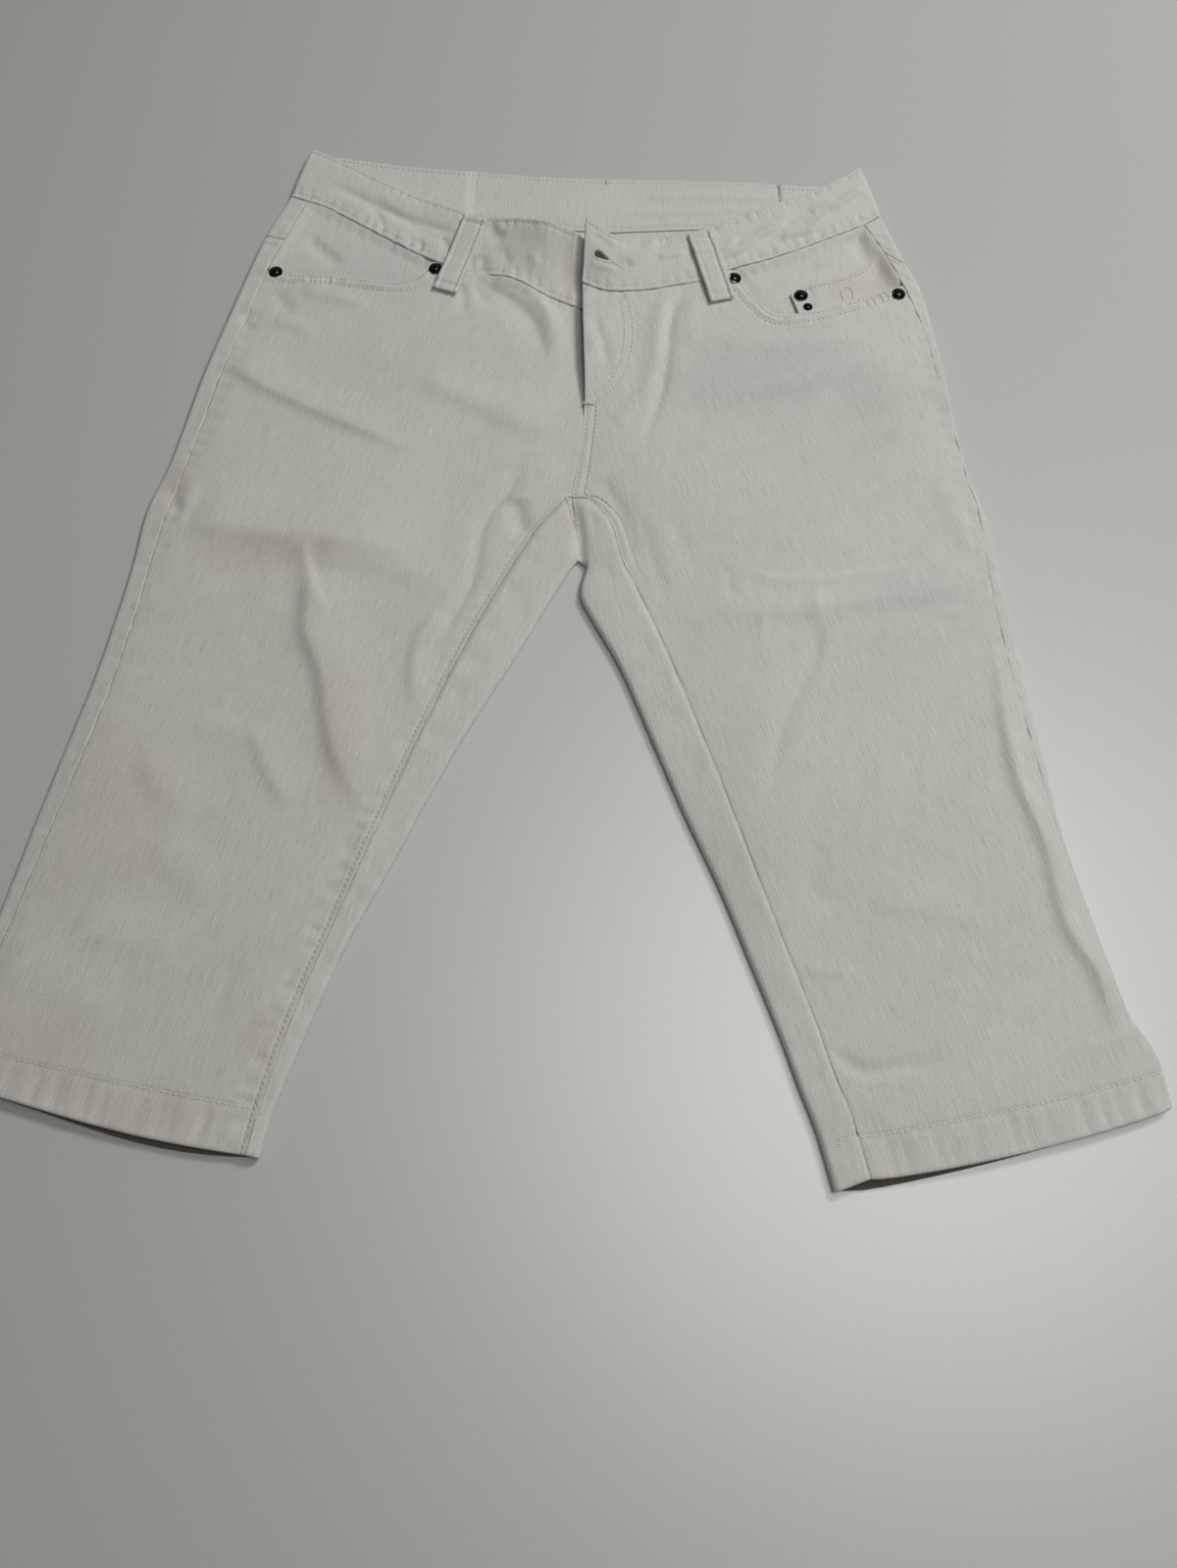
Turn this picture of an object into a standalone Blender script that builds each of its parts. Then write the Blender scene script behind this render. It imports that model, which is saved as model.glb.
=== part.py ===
"""Capri pants laid on their back, with the waist undone: every cut piece as its own solid.

Lengths are in millimetres, and the meshes are made in metres. +Y points to the waist and +Z up, and
the wearer's left is at +X. The origin lies on the table, under the middle of the garment's box.
"""

import math
from collections import namedtuple

import bmesh
import bpy
import numpy as np
from mathutils import Vector

METRE = 0.001

# Cloth
CLOTH = 1.2  # one layer of stretch twill with its seam allowances
TURN_UP = 1.9  # the wall where the hem is turned up inside
BAND = 2.4  # the waistband's two layers
LOOP = 1.6  # a belt loop, folded double
SEAM_GAP = 0.3  # between two pieces at a seam
LAYER_GAP = 0.4  # between two pieces that lie on each other
BAND_RAISE = 0.9  # how far the waistband stands above the panels below it
LEG_FOLD = 3.0  # how far a leg's edge fold bulges past its flat layers
BAND_FOLD = 3.6  # the same for the thicker waistband
PUFF_REACH = 14.0  # distance from an edge fold over which the top layer rises
BAND_HEIGHT = 44.0
HEM_TURN = 22.0

# Hardware
RIVET_RADIUS = 4.7
RIVET_HEIGHT = 2.2
SMALL_RIVET = 0.8  # the coin pocket's lower rivet, as a share of the others
BUTTON_RADIUS = 8.5
BUTTON_HEIGHT = 1.5
BUTTONHOLE = (12.0, 3.4)  # length and width of the slit
TURNED_STEPS = 12

# Rows of the leg tables, counted from the waist
YOKE_ROW = 1
POCKET_ROW = 2
SEAT_ROW = 4
CROTCH_ROW = 6
FORK_END_ROW = 11

# Columns of the meshes
SCOOP_COLUMNS = 7
WAIST_COLUMNS = 7
FACING_COLUMNS = 4
STRIP_COLUMNS = 3
FOLD_COLUMNS = 4
UNDER_COLUMNS = 4
BAND_ROWS = 3

DOWN = (0.0, -1.0)  # from the waist to the hems, in plan

OFF_WHITE = (0.62, 0.61, 0.57)
PALE_LINING = (0.66, 0.66, 0.60)
GUNMETAL = (0.02, 0.02, 0.022)

# A section of a leg: the outer fold, the side seam on top, the inner end of the front panel (centre
# front, then inseam) and the inner end of the back panel (centre back, then the inner fold).
Section = namedtuple("Section", "name outer side front back")

RIGHT_SECTIONS = (
    Section("waist", (-190, 308), (-177, 303), (18.3, 210), (32, 279)),
    Section("yoke seam", (-204, 272), (-190, 268), (19.3, 190), (31, 232)),
    Section("pocket", (-212.5, 241), (-199.5, 240), (20.2, 165), (29, 195)),
    Section("hip", (-224, 195), (-210.5, 194), (20.9, 133), (26, 150)),
    Section("seat", (-235, 152), (-222, 152), (19.3, 106), (23.5, 105)),
    Section("low seat", (-242, 116), (-229.5, 116), (16.3, 80), (21.5, 60)),
    Section("crotch", (-247, 90), (-235, 90), (12.5, 56.5), (19.2, 10.5)),
    Section("fork 1", (-249, 82), (-236.5, 82), (7, 53), (17.8, 11.6)),
    Section("fork 2", (-251.5, 73), (-238.3, 73), (0, 45), (16.3, 11.5)),
    Section("fork 3", (-256, 59), (-241.5, 59), (-8.5, 34.5), (14.4, 8.6)),
    Section("fork 4", (-259.5, 42), (-245.2, 42), (-17, 20), (11, 3)),
    Section("fork end", (-262, 12), (-250, 12), (-33, -10), (-4, -24)),
    Section("thigh", (-267, -24), (-254.5, -24), (-50.5, -46), (-23.5, -60)),
    Section("above knee", (-274.5, -68), (-261.5, -68), (-69, -89), (-46, -100)),
    Section("knee", (-284.3, -112), (-271, -112), (-86, -133), (-67.5, -142)),
    Section("below knee", (-294, -156), (-282.5, -156), (-102.5, -178), (-87.8, -185.5)),
    Section("calf", (-303, -200), (-293.3, -200), (-120, -225), (-109.5, -230)),
    Section("low calf", (-311.5, -240), (-303, -241), (-135, -267), (-125.5, -271.5)),
    Section("hem stitching", (-321.5, -281), (-313.5, -282), (-148, -314), (-140.8, -316)),
    Section("hem", (-327, -303), (-320, -304.5), (-154, -342.5), (-147.5, -344)),
)
LEFT_SECTIONS = (
    Section("waist", (231.5, 288.5), (217.5, 280), (19.3, 226), (32, 279)),
    Section("yoke seam", (244.5, 247), (229, 256.5), (19.6, 200), (31, 232)),
    Section("pocket", (252.5, 224), (240, 226.5), (20.2, 172), (29, 195)),
    Section("hip", (257, 193), (249.3, 193), (20.9, 133), (26, 150)),
    Section("seat", (262, 152), (255.8, 152), (19.3, 106), (23.5, 105)),
    Section("low seat", (264.5, 114), (261, 114), (16.3, 80), (21.5, 60)),
    Section("crotch", (267.3, 88), (265, 88), (12.5, 56.5), (19.2, 10.5)),
    Section("fork 1", (268.3, 79), (265.9, 79), (21.5, 55.3), (20.9, 9.3)),
    Section("fork 2", (270, 68), (267.2, 68), (28.5, 50), (22, 8)),
    Section("fork 3", (273.2, 57), (269.5, 57), (33.5, 44), (21.8, 4.5)),
    Section("fork 4", (276, 44), (271.2, 44), (39, 34), (20.2, -1)),
    Section("fork end", (278.4, 26), (272, 26), (44.5, 10.5), (18.8, -8)),
    Section("thigh", (280, 0), (272.8, 0), (51.5, -5), (20.8, -20)),
    Section("above knee", (283.4, -38), (275.1, -38), (70, -50), (42.6, -62.5)),
    Section("knee", (286.4, -80), (279, -80), (87, -97), (60.7, -109)),
    Section("below knee", (290.5, -124), (285.7, -124), (103, -144), (78.4, -155)),
    Section("calf", (294.7, -168), (291.3, -168), (118, -190), (97, -199.5)),
    Section("low calf", (302.4, -208), (300.8, -208), (132, -233), (112.3, -241.5)),
    Section("shin", (310.2, -246), (308.9, -246), (145.5, -273.5), (126.5, -281.5)),
    Section("above hem", (317, -272), (315.8, -272.5), (153.5, -300.5), (135, -308.5)),
    Section("hem stitching", (327.2, -291), (325, -292), (161.5, -323.5), (142.8, -331.5)),
    Section("hem", (330.8, -317), (326.5, -323.5), (168.5, -354), (149.8, -360.5)),
)

# The waistband on top, from the side seam to the centre: its lower edge and its upper one.
Waist = namedtuple("Waist", "name seam top")
RIGHT_WAIST = (
    Waist("side seam", (-177, 303), (-167, 347)),
    Waist("side", (-162, 297), (-148, 336)),
    Waist("hip", (-151, 290), (-133, 327)),
    Waist("mid pocket", (-120, 270), (-108, 312)),
    Waist("pocket end", (-86, 249.5), (-76, 296)),
    Waist("belt loop", (-61, 240), (-52, 283)),
    Waist("front", (-30, 232), (-26, 276)),
    Waist("fly", (-5, 219), (-1, 268)),
    Waist("centre", (18.3, 210), (21, 261)),
)
LEFT_WAIST = (
    Waist("side seam", (217.5, 280), (207, 325)),
    Waist("side", (195, 269), (183, 311)),
    Waist("hip", (171, 258), (158, 300)),
    Waist("mid pocket", (146, 248), (134, 290)),
    Waist("pocket end", (123, 240.5), (112, 278)),
    Waist("belt loop", (102, 230.5), (96, 273.5)),
    Waist("front", (84, 226.3), (80, 270.5)),
    Waist("fly", (61, 221.5), (61, 264.5)),
    Waist("buttonhole", (41, 218.8), (43, 260.5)),
    Waist("near centre", (30, 221), (32, 264)),
    Waist("centre", (19.3, 226), (22, 268)),
)
POCKET_END = 4  # the row of the waist tables where the pocket opening ends
# The right end of the band runs on under the left one.
TONGUE = (
    Waist("tongue end", (50, 206), (51, 250)),
    Waist("under the buttonhole", (34, 208), (35, 255)),
)

# The waistband under the garment: its upper edge from the side fold to the seam with the back one.
RIGHT_UNDER_TOP = ((-160, 350.5), (-136, 345.5), (-100, 340), (-58, 336))
LEFT_UNDER_TOP = ((206, 325.5), (194, 322), (178, 322), (160, 323.5))
BACK_BAND_TOP = ((-58, 336), (-12, 331.5), (37, 329), (84, 328), (130, 326), (160, 323.5))
BACK_BAND_SEAM_X = (-58.0, 160.0)
BAND_SIDE_TOP = {"right": (-179, 352), "left": (221, 334)}

# The pocket openings, from the side seam to the waist seam.
RIGHT_SCOOP = (
    (-199.5, 240), (-180, 238), (-146, 235), (-119, 231), (-104, 231), (-95, 236), (-89, 243.5),
    (-86, 249.5),
)
LEFT_SCOOP = (
    (240, 226.5), (229, 223), (212, 216), (186, 207), (165, 202), (155, 201), (147, 204),
    (139, 213), (130, 228), (123, 240.5),
)
SCOOP_LAP = 12.0  # how far a facing runs on under the front panel

COIN_TOP = ((162, 219.5), (174, 227.5), (196, 234), (210, 240), (222, 249))
COIN_LEFT_FOOT = (169.5, 193)
COIN_RIGHT_FOOT = (231, 214)

J_STITCH = ((47, 219), (52, 205), (53.5, 185), (51, 163), (45, 146), (34, 132))  # outer edge of the fly
FLY_TOP_Y = 224.0
FLY_END_Y = 131.0
SHIELD_EDGE_X = 45.0
SHIELD_TOP_Y = 203.0
ZIP_X = (24.5, 33.0)
ZIP_Y = (143.0, 199.0)
ZIP_HEIGHT = 1.2

# How the top layer stands over the table: at its edge folds, and how much more inside them.
Stand = namedtuple("Stand", "y fold puff")
STANDS = (
    Stand(-345, 6.0, 1.0),
    Stand(-250, 5.4, 1.3),
    Stand(-50, 5.2, 1.6),
    Stand(60, 5.8, 1.6),
    Stand(150, 6.5, 1.0),
    Stand(230, 6.9, 0.4),
    Stand(360, 6.9, 0.3),
)
LEFT_HIP_RISE = 0.9  # the coin pocket's extra layer
LEFT_FLAP_RISE = 2.6  # the left front over the fly
RIGHT_FLAP_DROP = 2.3  # the right front under the fly

# The undone waist gapes at the centre front: the line the band's ends rise from, and how far their
# upper edges rise above it.
Gape = namedtuple("Gape", "x y rise")
GAPES = (
    Gape(-95, 254, 0),
    Gape(-61, 243, 3),
    Gape(-30, 232, 9),
    Gape(-5, 221, 14.5),
    Gape(14, 217, 17),
    Gape(22, 224, 15),
    Gape(32, 222, 11.5),
    Gape(43, 220, 6.5),
    Gape(60, 222, 1.5),
    Gape(76, 226, 0),
)

# A fold of the top layer: its rise (below nothing for a trough), its reach on the two sides of its
# line, going along the points with the left hand first, and the points themselves.
Crease = namedtuple("Crease", "name rise left right points")
CROTCH_VALLEY = Crease("crotch valley", -2.6, 4.5, 4.5, ((13, 53), (17.5, 32), (19.2, 10), (20, 0)))
RIGHT_CREASES = (
    CROTCH_VALLEY,
    Crease("hip drag", -1.8, 9, 12, ((-214, 161), (-198, 144), (-160, 122), (-112, 98), (-84, 84))),
    Crease("thigh ridge", 3.4, 30, 13, ((-229, 33), (-193, 31), (-152, 28), (-117, 21), (-72, 18))),
    Crease("thigh drop", -1.5, 9, 14, ((-215, 4), (-191, 2), (-159, -5), (-116, -9), (-66, -20))),
    Crease("knee trough", -2.4, 9, 7, (
        (-150, 12), (-150, -10), (-152, -29), (-143, -61), (-134, -92), (-128, -122), (-108, -156))),
    Crease("knee tail", -1.4, 8, 7, ((-104, -158), (-112, -185), (-118, -200))),
    Crease("outer knee", -1.3, 10, 9, ((-177, -105), (-167, -128), (-153, -151))),
    Crease("inner drag", -1.8, 6, 8, ((-15, 84), (-36, 48), (-51, -5), (-61, -29), (-71, -72))),
    Crease("crotch dimple", -1.8, 8, 8, ((-20, 57), (-15, 40), (-10, 22))),
    Crease("fly fold", -1.6, 9, 7, ((-49, 228), (-36, 220), (-24, 210), (-13, 197), (-6, 172))),
)
LEFT_CREASES = (
    CROTCH_VALLEY,
    Crease("fly ridge", 2.6, 8, 9, ((84, 214), (77, 204), (71, 175), (69, 149), (63, 125), (60, 100))),
    Crease("hip drag", -1.0, 12, 12, ((107, 77), (174, 103), (244, 137))),
    Crease("thigh ridge", 1.8, 14, 12, ((116, -24), (166, -14), (240, -3), (265, 5))),
    Crease("knee crease", -1.5, 9, 8, ((163, -22), (164, -45), (154, -67), (140, -92), (127, -114))),
    Crease("outer trough", -2.0, 7, 8, (
        (258, -20), (264, -70), (269, -126), (277, -161), (286, -219), (293, -250), (300, -278))),
    Crease("crotch drag", -1.2, 6, 6, ((31, 71), (46, 41), (58, -1))),
)

# The front hems bow out between their corners: how far, and where along them from the side seam.
HEM_BOWS = {"right": (3.5, 0.6), "left": (4.8, 0.5)}

Side = namedtuple("Side", "name hand sections waist scoop under_top creases")
RIGHT = Side(
    "right", -1, RIGHT_SECTIONS, RIGHT_WAIST, RIGHT_SCOOP, RIGHT_UNDER_TOP, RIGHT_CREASES
)
LEFT = Side("left", 1, LEFT_SECTIONS, LEFT_WAIST, LEFT_SCOOP, LEFT_UNDER_TOP, LEFT_CREASES)

# Rivets: name, place, and size as a share of the usual one.
RIVETS = (
    ("rivet_right_side", RIGHT, (-193, 238.5), 1.0),
    ("rivet_right_front", RIGHT, (-82.5, 241.5), 1.0),
    ("rivet_left_front", LEFT, (124, 232), 1.0),
    ("rivet_left_side", LEFT, (236, 218.5), 1.0),
    ("rivet_coin", LEFT, (169.5, 218.5), 1.0),
    ("rivet_coin_lower", LEFT, (173.5, 208.8), SMALL_RIVET),
)
COIN_RIVETS = ("rivet_coin", "rivet_coin_lower")

# Belt loops on the front: the middle of the upper end and of the lower end.
LOOPS = (
    ("belt_loop_right", RIGHT, (-55.5, 281.5), (-75, 220.5)),
    ("belt_loop_left", LEFT, (101, 270.5), (115, 211.5)),
)
LOOP_WIDTH = 17.5
LOOP_ROWS = 9

BUTTON_PLACE = (39, 229)
MIDDLE = (1.9, -4.2, 0.0)  # the middle of the box's foot, which becomes the origin
BUTTONHOLE_PLACE = (34, 245)


# ---------------------------------------------------------------------------------------------
# Lines and heights


def ramp(value, start, end):
    """0 before start, 1 past end, and a soft step between."""
    share = np.clip((np.asarray(value, float) - start) / (end - start), 0, 1)
    return share * share * (3 - 2 * share)


def smooth(points, at):
    """Places on a smooth curve through the points. `at` counts points from the first."""
    points = np.asarray(points, float)
    at = np.asarray(at, float)
    last = len(points) - 1
    near = np.clip(np.floor(at).astype(int), 0, last - 1)
    share = (at - near)[:, None]
    start, end = points[near], points[near + 1]
    before = np.where((near > 0)[:, None], points[near - 1], 2 * start - end)
    after = np.where((near < last - 1)[:, None], points[np.minimum(near + 2, last)], 2 * end - start)
    pull_out, pull_in = (end - before) / 2, (after - start) / 2
    square, cube = share**2, share**3
    return (
        (2 * cube - 3 * square + 1) * start
        + (cube - 2 * square + share) * pull_out
        + (3 * square - 2 * cube) * end
        + (cube - square) * pull_in
    )


def along(side, column, at):
    """A column of the leg table as a smooth line. The inner lines turn a corner at the crotch."""
    points = [getattr(section, column) for section in side.sections]
    at = np.asarray(at, float)
    if column in ("outer", "side"):
        return smooth(points, at)
    upper = smooth(points[: CROTCH_ROW + 1], np.minimum(at, CROTCH_ROW))
    lower = smooth(points[CROTCH_ROW:], np.maximum(at - CROTCH_ROW, 0))
    return np.where((at <= CROTCH_ROW)[:, None], upper, lower)


def waist_line(side, column, at):
    return smooth([getattr(row, column) for row in side.waist], at)


def from_line(line, x, y):
    """Distance from each place to a line, positive on its left, and the share of the line passed."""
    line = np.asarray(line, float)
    start, run = line[:-1], line[1:] - line[:-1]
    to_x = np.asarray(x, float)[..., None] - start[:, 0]
    to_y = np.asarray(y, float)[..., None] - start[:, 1]
    share = np.clip((to_x * run[:, 0] + to_y * run[:, 1]) / (run**2).sum(1), 0, 1)
    off_x, off_y = to_x - share * run[:, 0], to_y - share * run[:, 1]
    gaps = np.hypot(off_x, off_y)
    nearest = gaps.argmin(-1)[..., None]
    gap = np.take_along_axis(gaps, nearest, -1)[..., 0]
    turn = np.take_along_axis(run[:, 0] * to_y - run[:, 1] * to_x, nearest, -1)[..., 0]
    passed = (nearest + np.take_along_axis(share, nearest, -1))[..., 0] / len(run)
    return gap * np.where(turn < 0, -1, 1), passed


def crease_height(crease, x, y):
    steps = np.linspace(0, len(crease.points) - 1, 4 * len(crease.points))
    offset, passed = from_line(smooth(crease.points, steps), x, y)
    reach = np.where(offset > 0, crease.left, crease.right)
    ends = ramp(passed, -0.05, 0.2) * ramp(-passed, -1.05, -0.8)
    return crease.rise * ends * np.exp(-((offset / reach) ** 2))


def fold_distance(side, x, y):
    """How far each place is from the nearer edge fold of its leg."""
    last = len(side.sections) - 1
    outer = along(side, "outer", np.linspace(0, last, 4 * last))
    inner = along(side, "back", np.linspace(CROTCH_ROW, last, 4 * last))
    return np.minimum(abs(from_line(outer, x, y)[0]), abs(from_line(inner, x, y)[0]))


def body_height(side, x, y):
    """Height of the top layer's upper face, before it rounds down into an edge fold."""
    x, y = np.asarray(x, float), np.asarray(y, float)
    levels = [stand.y for stand in STANDS]
    fold = np.interp(y, levels, [stand.fold for stand in STANDS])
    puff = np.interp(y, levels, [stand.puff for stand in STANDS])
    height = fold + puff * (1 - np.exp(-fold_distance(side, x, y) / PUFF_REACH))
    if side is LEFT:
        height += LEFT_HIP_RISE * ramp(y, 120, 190)
        height += LEFT_FLAP_RISE * ramp(-x, -72, -34) * ramp(y, 114, 140)
    else:
        height -= RIGHT_FLAP_DROP * ramp(x, -30, 12) * ramp(y, 114, 140)
    for crease in side.creases:
        height += crease_height(crease, x, y)
    return height


def top_height(side, x, y):
    """Height of the top layer's upper face, rounded down towards the edge folds."""
    share = np.clip(fold_distance(side, x, y) / LEG_FOLD, 0, 1)
    return body_height(side, x, y) * (1 + np.sqrt(1 - (1 - share) ** 2)) / 2


def gape(x, y):
    """Extra height of the waistband where the undone waist stands open."""
    at = [row.x for row in GAPES]
    up_band = (y - np.interp(x, at, [row.y for row in GAPES])) / BAND_HEIGHT
    return np.interp(x, at, [row.rise for row in GAPES]) * np.clip(up_band, 0, 1.2) ** 1.4


def band_height(side, x, y):
    return body_height(side, x, y) + BAND_RAISE + gape(x, y)


# ---------------------------------------------------------------------------------------------
# Meshes


def material(name, colour, roughness, metallic=0.0):
    made = bpy.data.materials.get(name)
    if made:
        return made
    made = bpy.data.materials.new(name)
    made.use_nodes = True
    shader = made.node_tree.nodes["Principled BSDF"]
    shader.inputs["Base Color"].default_value = (*colour, 1)
    shader.inputs["Roughness"].default_value = roughness
    shader.inputs["Metallic"].default_value = metallic
    return made


def twill():
    return material("off-white twill", OFF_WHITE, 0.85)


def finish(name, mesh, surface):
    """An object of this mesh in the scene."""
    data = bpy.data.meshes.new(name)
    mesh.to_mesh(data)
    mesh.free()
    data.shade_smooth()
    data.set_sharp_from_angle(angle=math.radians(50))
    data.materials.append(surface)
    made = bpy.data.objects.new(name, data)
    bpy.context.scene.collection.objects.link(made)
    return made


def sheet(name, rows, normals, turns_up, walls=CLOTH, surface=None):
    """A cloth piece from rows of points on its outer face, and the outward normal of each point.

    turns_up says whether a turn from a row's first point to its second, then to the next row, is
    seen the right way round from outside. walls is the thickness, or one for each row.
    """
    walls = np.broadcast_to(walls, len(rows))
    mesh = bmesh.new()
    outer, inner = [], []
    for row, row_normals, wall in zip(rows, normals, walls):
        row, row_normals = np.asarray(row, float), np.asarray(row_normals, float)
        outer.append([mesh.verts.new(point) for point in row * METRE])
        inner.append([mesh.verts.new(point) for point in (row - row_normals * wall) * METRE])
    twin = {a: b for pair in zip(outer, inner) for a, b in zip(*pair)}
    faces = []
    for upper, lower in zip(outer, outer[1:]):
        for j in range(min(len(upper), len(lower)) - 1):
            corners = (upper[j], upper[j + 1], lower[j + 1], lower[j])
            faces.append(mesh.faces.new(corners if turns_up else corners[::-1]))
    rims = [loop for face in faces for loop in face.loops if loop.edge.is_boundary]
    rims = [(loop.link_loop_next.vert, loop.vert) for loop in rims]
    for start, end in rims:
        mesh.faces.new((start, end, twin[end], twin[start]))
    for face in faces:
        mesh.faces.new([twin[vertex] for vertex in reversed(face.verts)])
    return finish(name, mesh, surface or twill())


def coons(top, foot, left, right):
    """Rows of plan points that fill four edges. top and foot run with the columns."""
    top, foot, left, right = (np.asarray(edge, float) for edge in (top, foot, left, right))
    u = np.linspace(0, 1, len(top))[None, :, None]
    v = np.linspace(0, 1, len(left))[:, None, None]
    across = (1 - v) * top[None] + v * foot[None]
    down = (1 - u) * left[:, None] + u * right[:, None]
    corners = (
        (1 - v) * ((1 - u) * top[0] + u * top[-1]) + v * ((1 - u) * foot[0] + u * foot[-1])
    )
    return across + down - corners


def draw_in(plan, first_column=0.0, last_column=0.0, first_row=0.0, last_row=0.0):
    """The plan with its edges drawn in by these amounts."""
    plan = np.array(plan, float)

    def step(edge, inner, amount):
        run = inner - edge
        length = np.maximum(np.linalg.norm(run, axis=-1, keepdims=True), 1e-6)
        return edge + run / length * amount

    moved = plan.copy()
    moved[:, 0] += step(plan[:, 0], plan[:, 1], first_column) - plan[:, 0]
    moved[:, -1] += step(plan[:, -1], plan[:, -2], last_column) - plan[:, -1]
    moved[0] += step(plan[0], plan[1], first_row) - plan[0]
    moved[-1] += step(plan[-1], plan[-2], last_row) - plan[-1]
    return moved


def raise_plan(plan, height):
    """3-D rows from plan rows: height(x, y) gives each point's z."""
    plan = np.asarray(plan, float)
    return np.dstack([plan, height(plan[..., 0], plan[..., 1])])


def unit(vectors):
    vectors = np.asarray(vectors, float)
    return vectors / np.linalg.norm(vectors, axis=-1, keepdims=True)


def top_normals(side, plan):
    """Normals of the top layer: up, and leaning out over the edge folds."""
    x, y = plan[..., 0], plan[..., 1]
    share = np.clip(fold_distance(side, x, y) / LEG_FOLD, 0, 1)
    step = 0.05
    slope_x = (fold_distance(side, x + step, y) - fold_distance(side, x - step, y)) / (2 * step)
    slope_y = (fold_distance(side, x, y + step) - fold_distance(side, x, y - step)) / (2 * step)
    lean = body_height(side, x, y) / 2 * (1 - share)
    up = LEG_FOLD * np.sqrt(1 - (1 - share) ** 2)
    return unit(np.stack([-slope_x * lean, -slope_y * lean, up], axis=-1))


def upright(rows):
    """Upward normals for these rows."""
    return np.broadcast_to((0.0, 0.0, 1.0), np.shape(rows))


def row_places(side, start, end):
    """Where a leg's rows stand between two sections, as section counts. Both legs' panels share them."""
    last = len(side.sections) - 1
    cuts = [2] * POCKET_ROW + [4] * (SEAT_ROW - POCKET_ROW) + [2] * (CROTCH_ROW - SEAT_ROW)
    cuts += [1] * (FORK_END_ROW - CROTCH_ROW) + [2] * (last - FORK_END_ROW)
    places = [i + k / n for i, n in enumerate(cuts) for k in range(n)] + [last]
    return np.array([place for place in places if start <= place <= end])


def wrap(edge, outward, seam, bulge, height):
    """One row from a seam on top, over an edge fold, to the flat underside: its points and normals.

    edge is the fold's outermost place in plan, outward its heading and bulge its half width.
    """
    edge, outward, seam = (np.asarray(v, float) for v in (edge, outward, seam))
    depth = float(np.dot(edge - seam, outward))
    flat_start = edge - outward * bulge
    start = math.asin(1 - depth / bulge) if depth < bulge else (bulge - depth) / bulge
    middle = max(0.0, start + 0.35 * (math.pi - start))
    turns = [
        *np.linspace(start, middle, STRIP_COLUMNS + 1),
        *np.linspace(middle, math.pi, FOLD_COLUMNS + 1)[1:],
    ]
    points, normals = [], []
    for turn in turns:
        if turn < 0:
            place = seam + (flat_start - seam) * (1 - turn / start)
        else:
            place = edge - outward * bulge * (1 - math.sin(turn))
            if start > 0:  # the seam itself lies on the fold
                share = max(0.0, 1 - (turn - start) / (math.pi / 2 - start))
                place = place + (seam - edge + outward * depth) * share
        full = float(height(place[0], place[1]))
        turn = max(turn, 0.0)
        points.append((*place, full * (1 + math.cos(turn)) / 2))
        lean = full / 2 * math.sin(turn)
        normals.append(unit((*(outward * lean), bulge * math.cos(turn))))
    return points, normals


def headings(line, hand):
    """Outward headings along a line of plan points: on its left for hand 1, its right for -1."""
    run = np.gradient(np.asarray(line, float), axis=0)
    run /= np.linalg.norm(run, axis=1, keepdims=True)
    return np.column_stack([-run[:, 1], run[:, 0]]) * hand


def under_row(start, end, columns=UNDER_COLUMNS):
    """Points on the flat underside, between two plan places, without the first."""
    shares = np.linspace(0, 1, columns + 1)[1:, None]
    plan = np.asarray(start, float)[:2] * (1 - shares) + np.asarray(end, float)[:2] * shares
    return [(x, y, 0.0) for x, y in plan]


def below(points):
    """Downward normals for these points."""
    return [(0.0, 0.0, -1.0)] * len(points)


# ---------------------------------------------------------------------------------------------
# Pieces


def front_plan(side):
    """The front panel: the scoop and the waist seam on top, the hem at the foot."""
    seam_at = np.linspace(POCKET_END, len(side.waist) - 1, WAIST_COLUMNS + 1)
    scoop_at = np.linspace(0, len(side.scoop) - 1, SCOOP_COLUMNS + 1)
    top = np.vstack([smooth(side.scoop, scoop_at), waist_line(side, "seam", seam_at)[1:]])
    hip_rows = row_places(side, POCKET_ROW, SEAT_ROW)
    leg_rows = row_places(side, SEAT_ROW, len(side.sections))
    share = np.linspace(0, 1, len(top))[None, :, None]
    legs = (
        along(side, "side", leg_rows)[:, None] * (1 - share)
        + along(side, "front", leg_rows)[:, None] * share
    )
    bow, bow_at = HEM_BOWS[side.name]
    down = unit(legs[-1] - legs[-2])
    swell = np.sin(math.pi * share[0] ** (math.log(0.5) / math.log(bow_at)))
    near_hem = ramp(leg_rows, leg_rows[-1] - 1.5, leg_rows[-1])[:, None, None]
    legs = legs + near_hem * bow * (swell * down)[None]
    fly_rows = np.linspace(0, SEAT_ROW, len(hip_rows))
    hip = coons(top, legs[0], along(side, "side", hip_rows), along(side, "front", fly_rows))
    return np.vstack([hip, legs[1:]])


def hem_walls(rows):
    """Each row's wall: doubled within the turn-up at the last row."""
    middles = np.array([np.mean([point[:2] for point in row], axis=0) for row in rows])
    up = np.linalg.norm(middles - middles[-1], axis=1)
    return TURN_UP - (TURN_UP - CLOTH) * ramp(up, HEM_TURN - 2, HEM_TURN + 6)


def front_panel(side):
    plan = draw_in(front_plan(side), SEAM_GAP / 2, SEAM_GAP / 2, SEAM_GAP / 2)
    rows = raise_plan(plan, lambda x, y: top_height(side, x, y))
    sheet(f"leg_front_{side.name}", rows, top_normals(side, plan), side is LEFT, hem_walls(rows))


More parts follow.
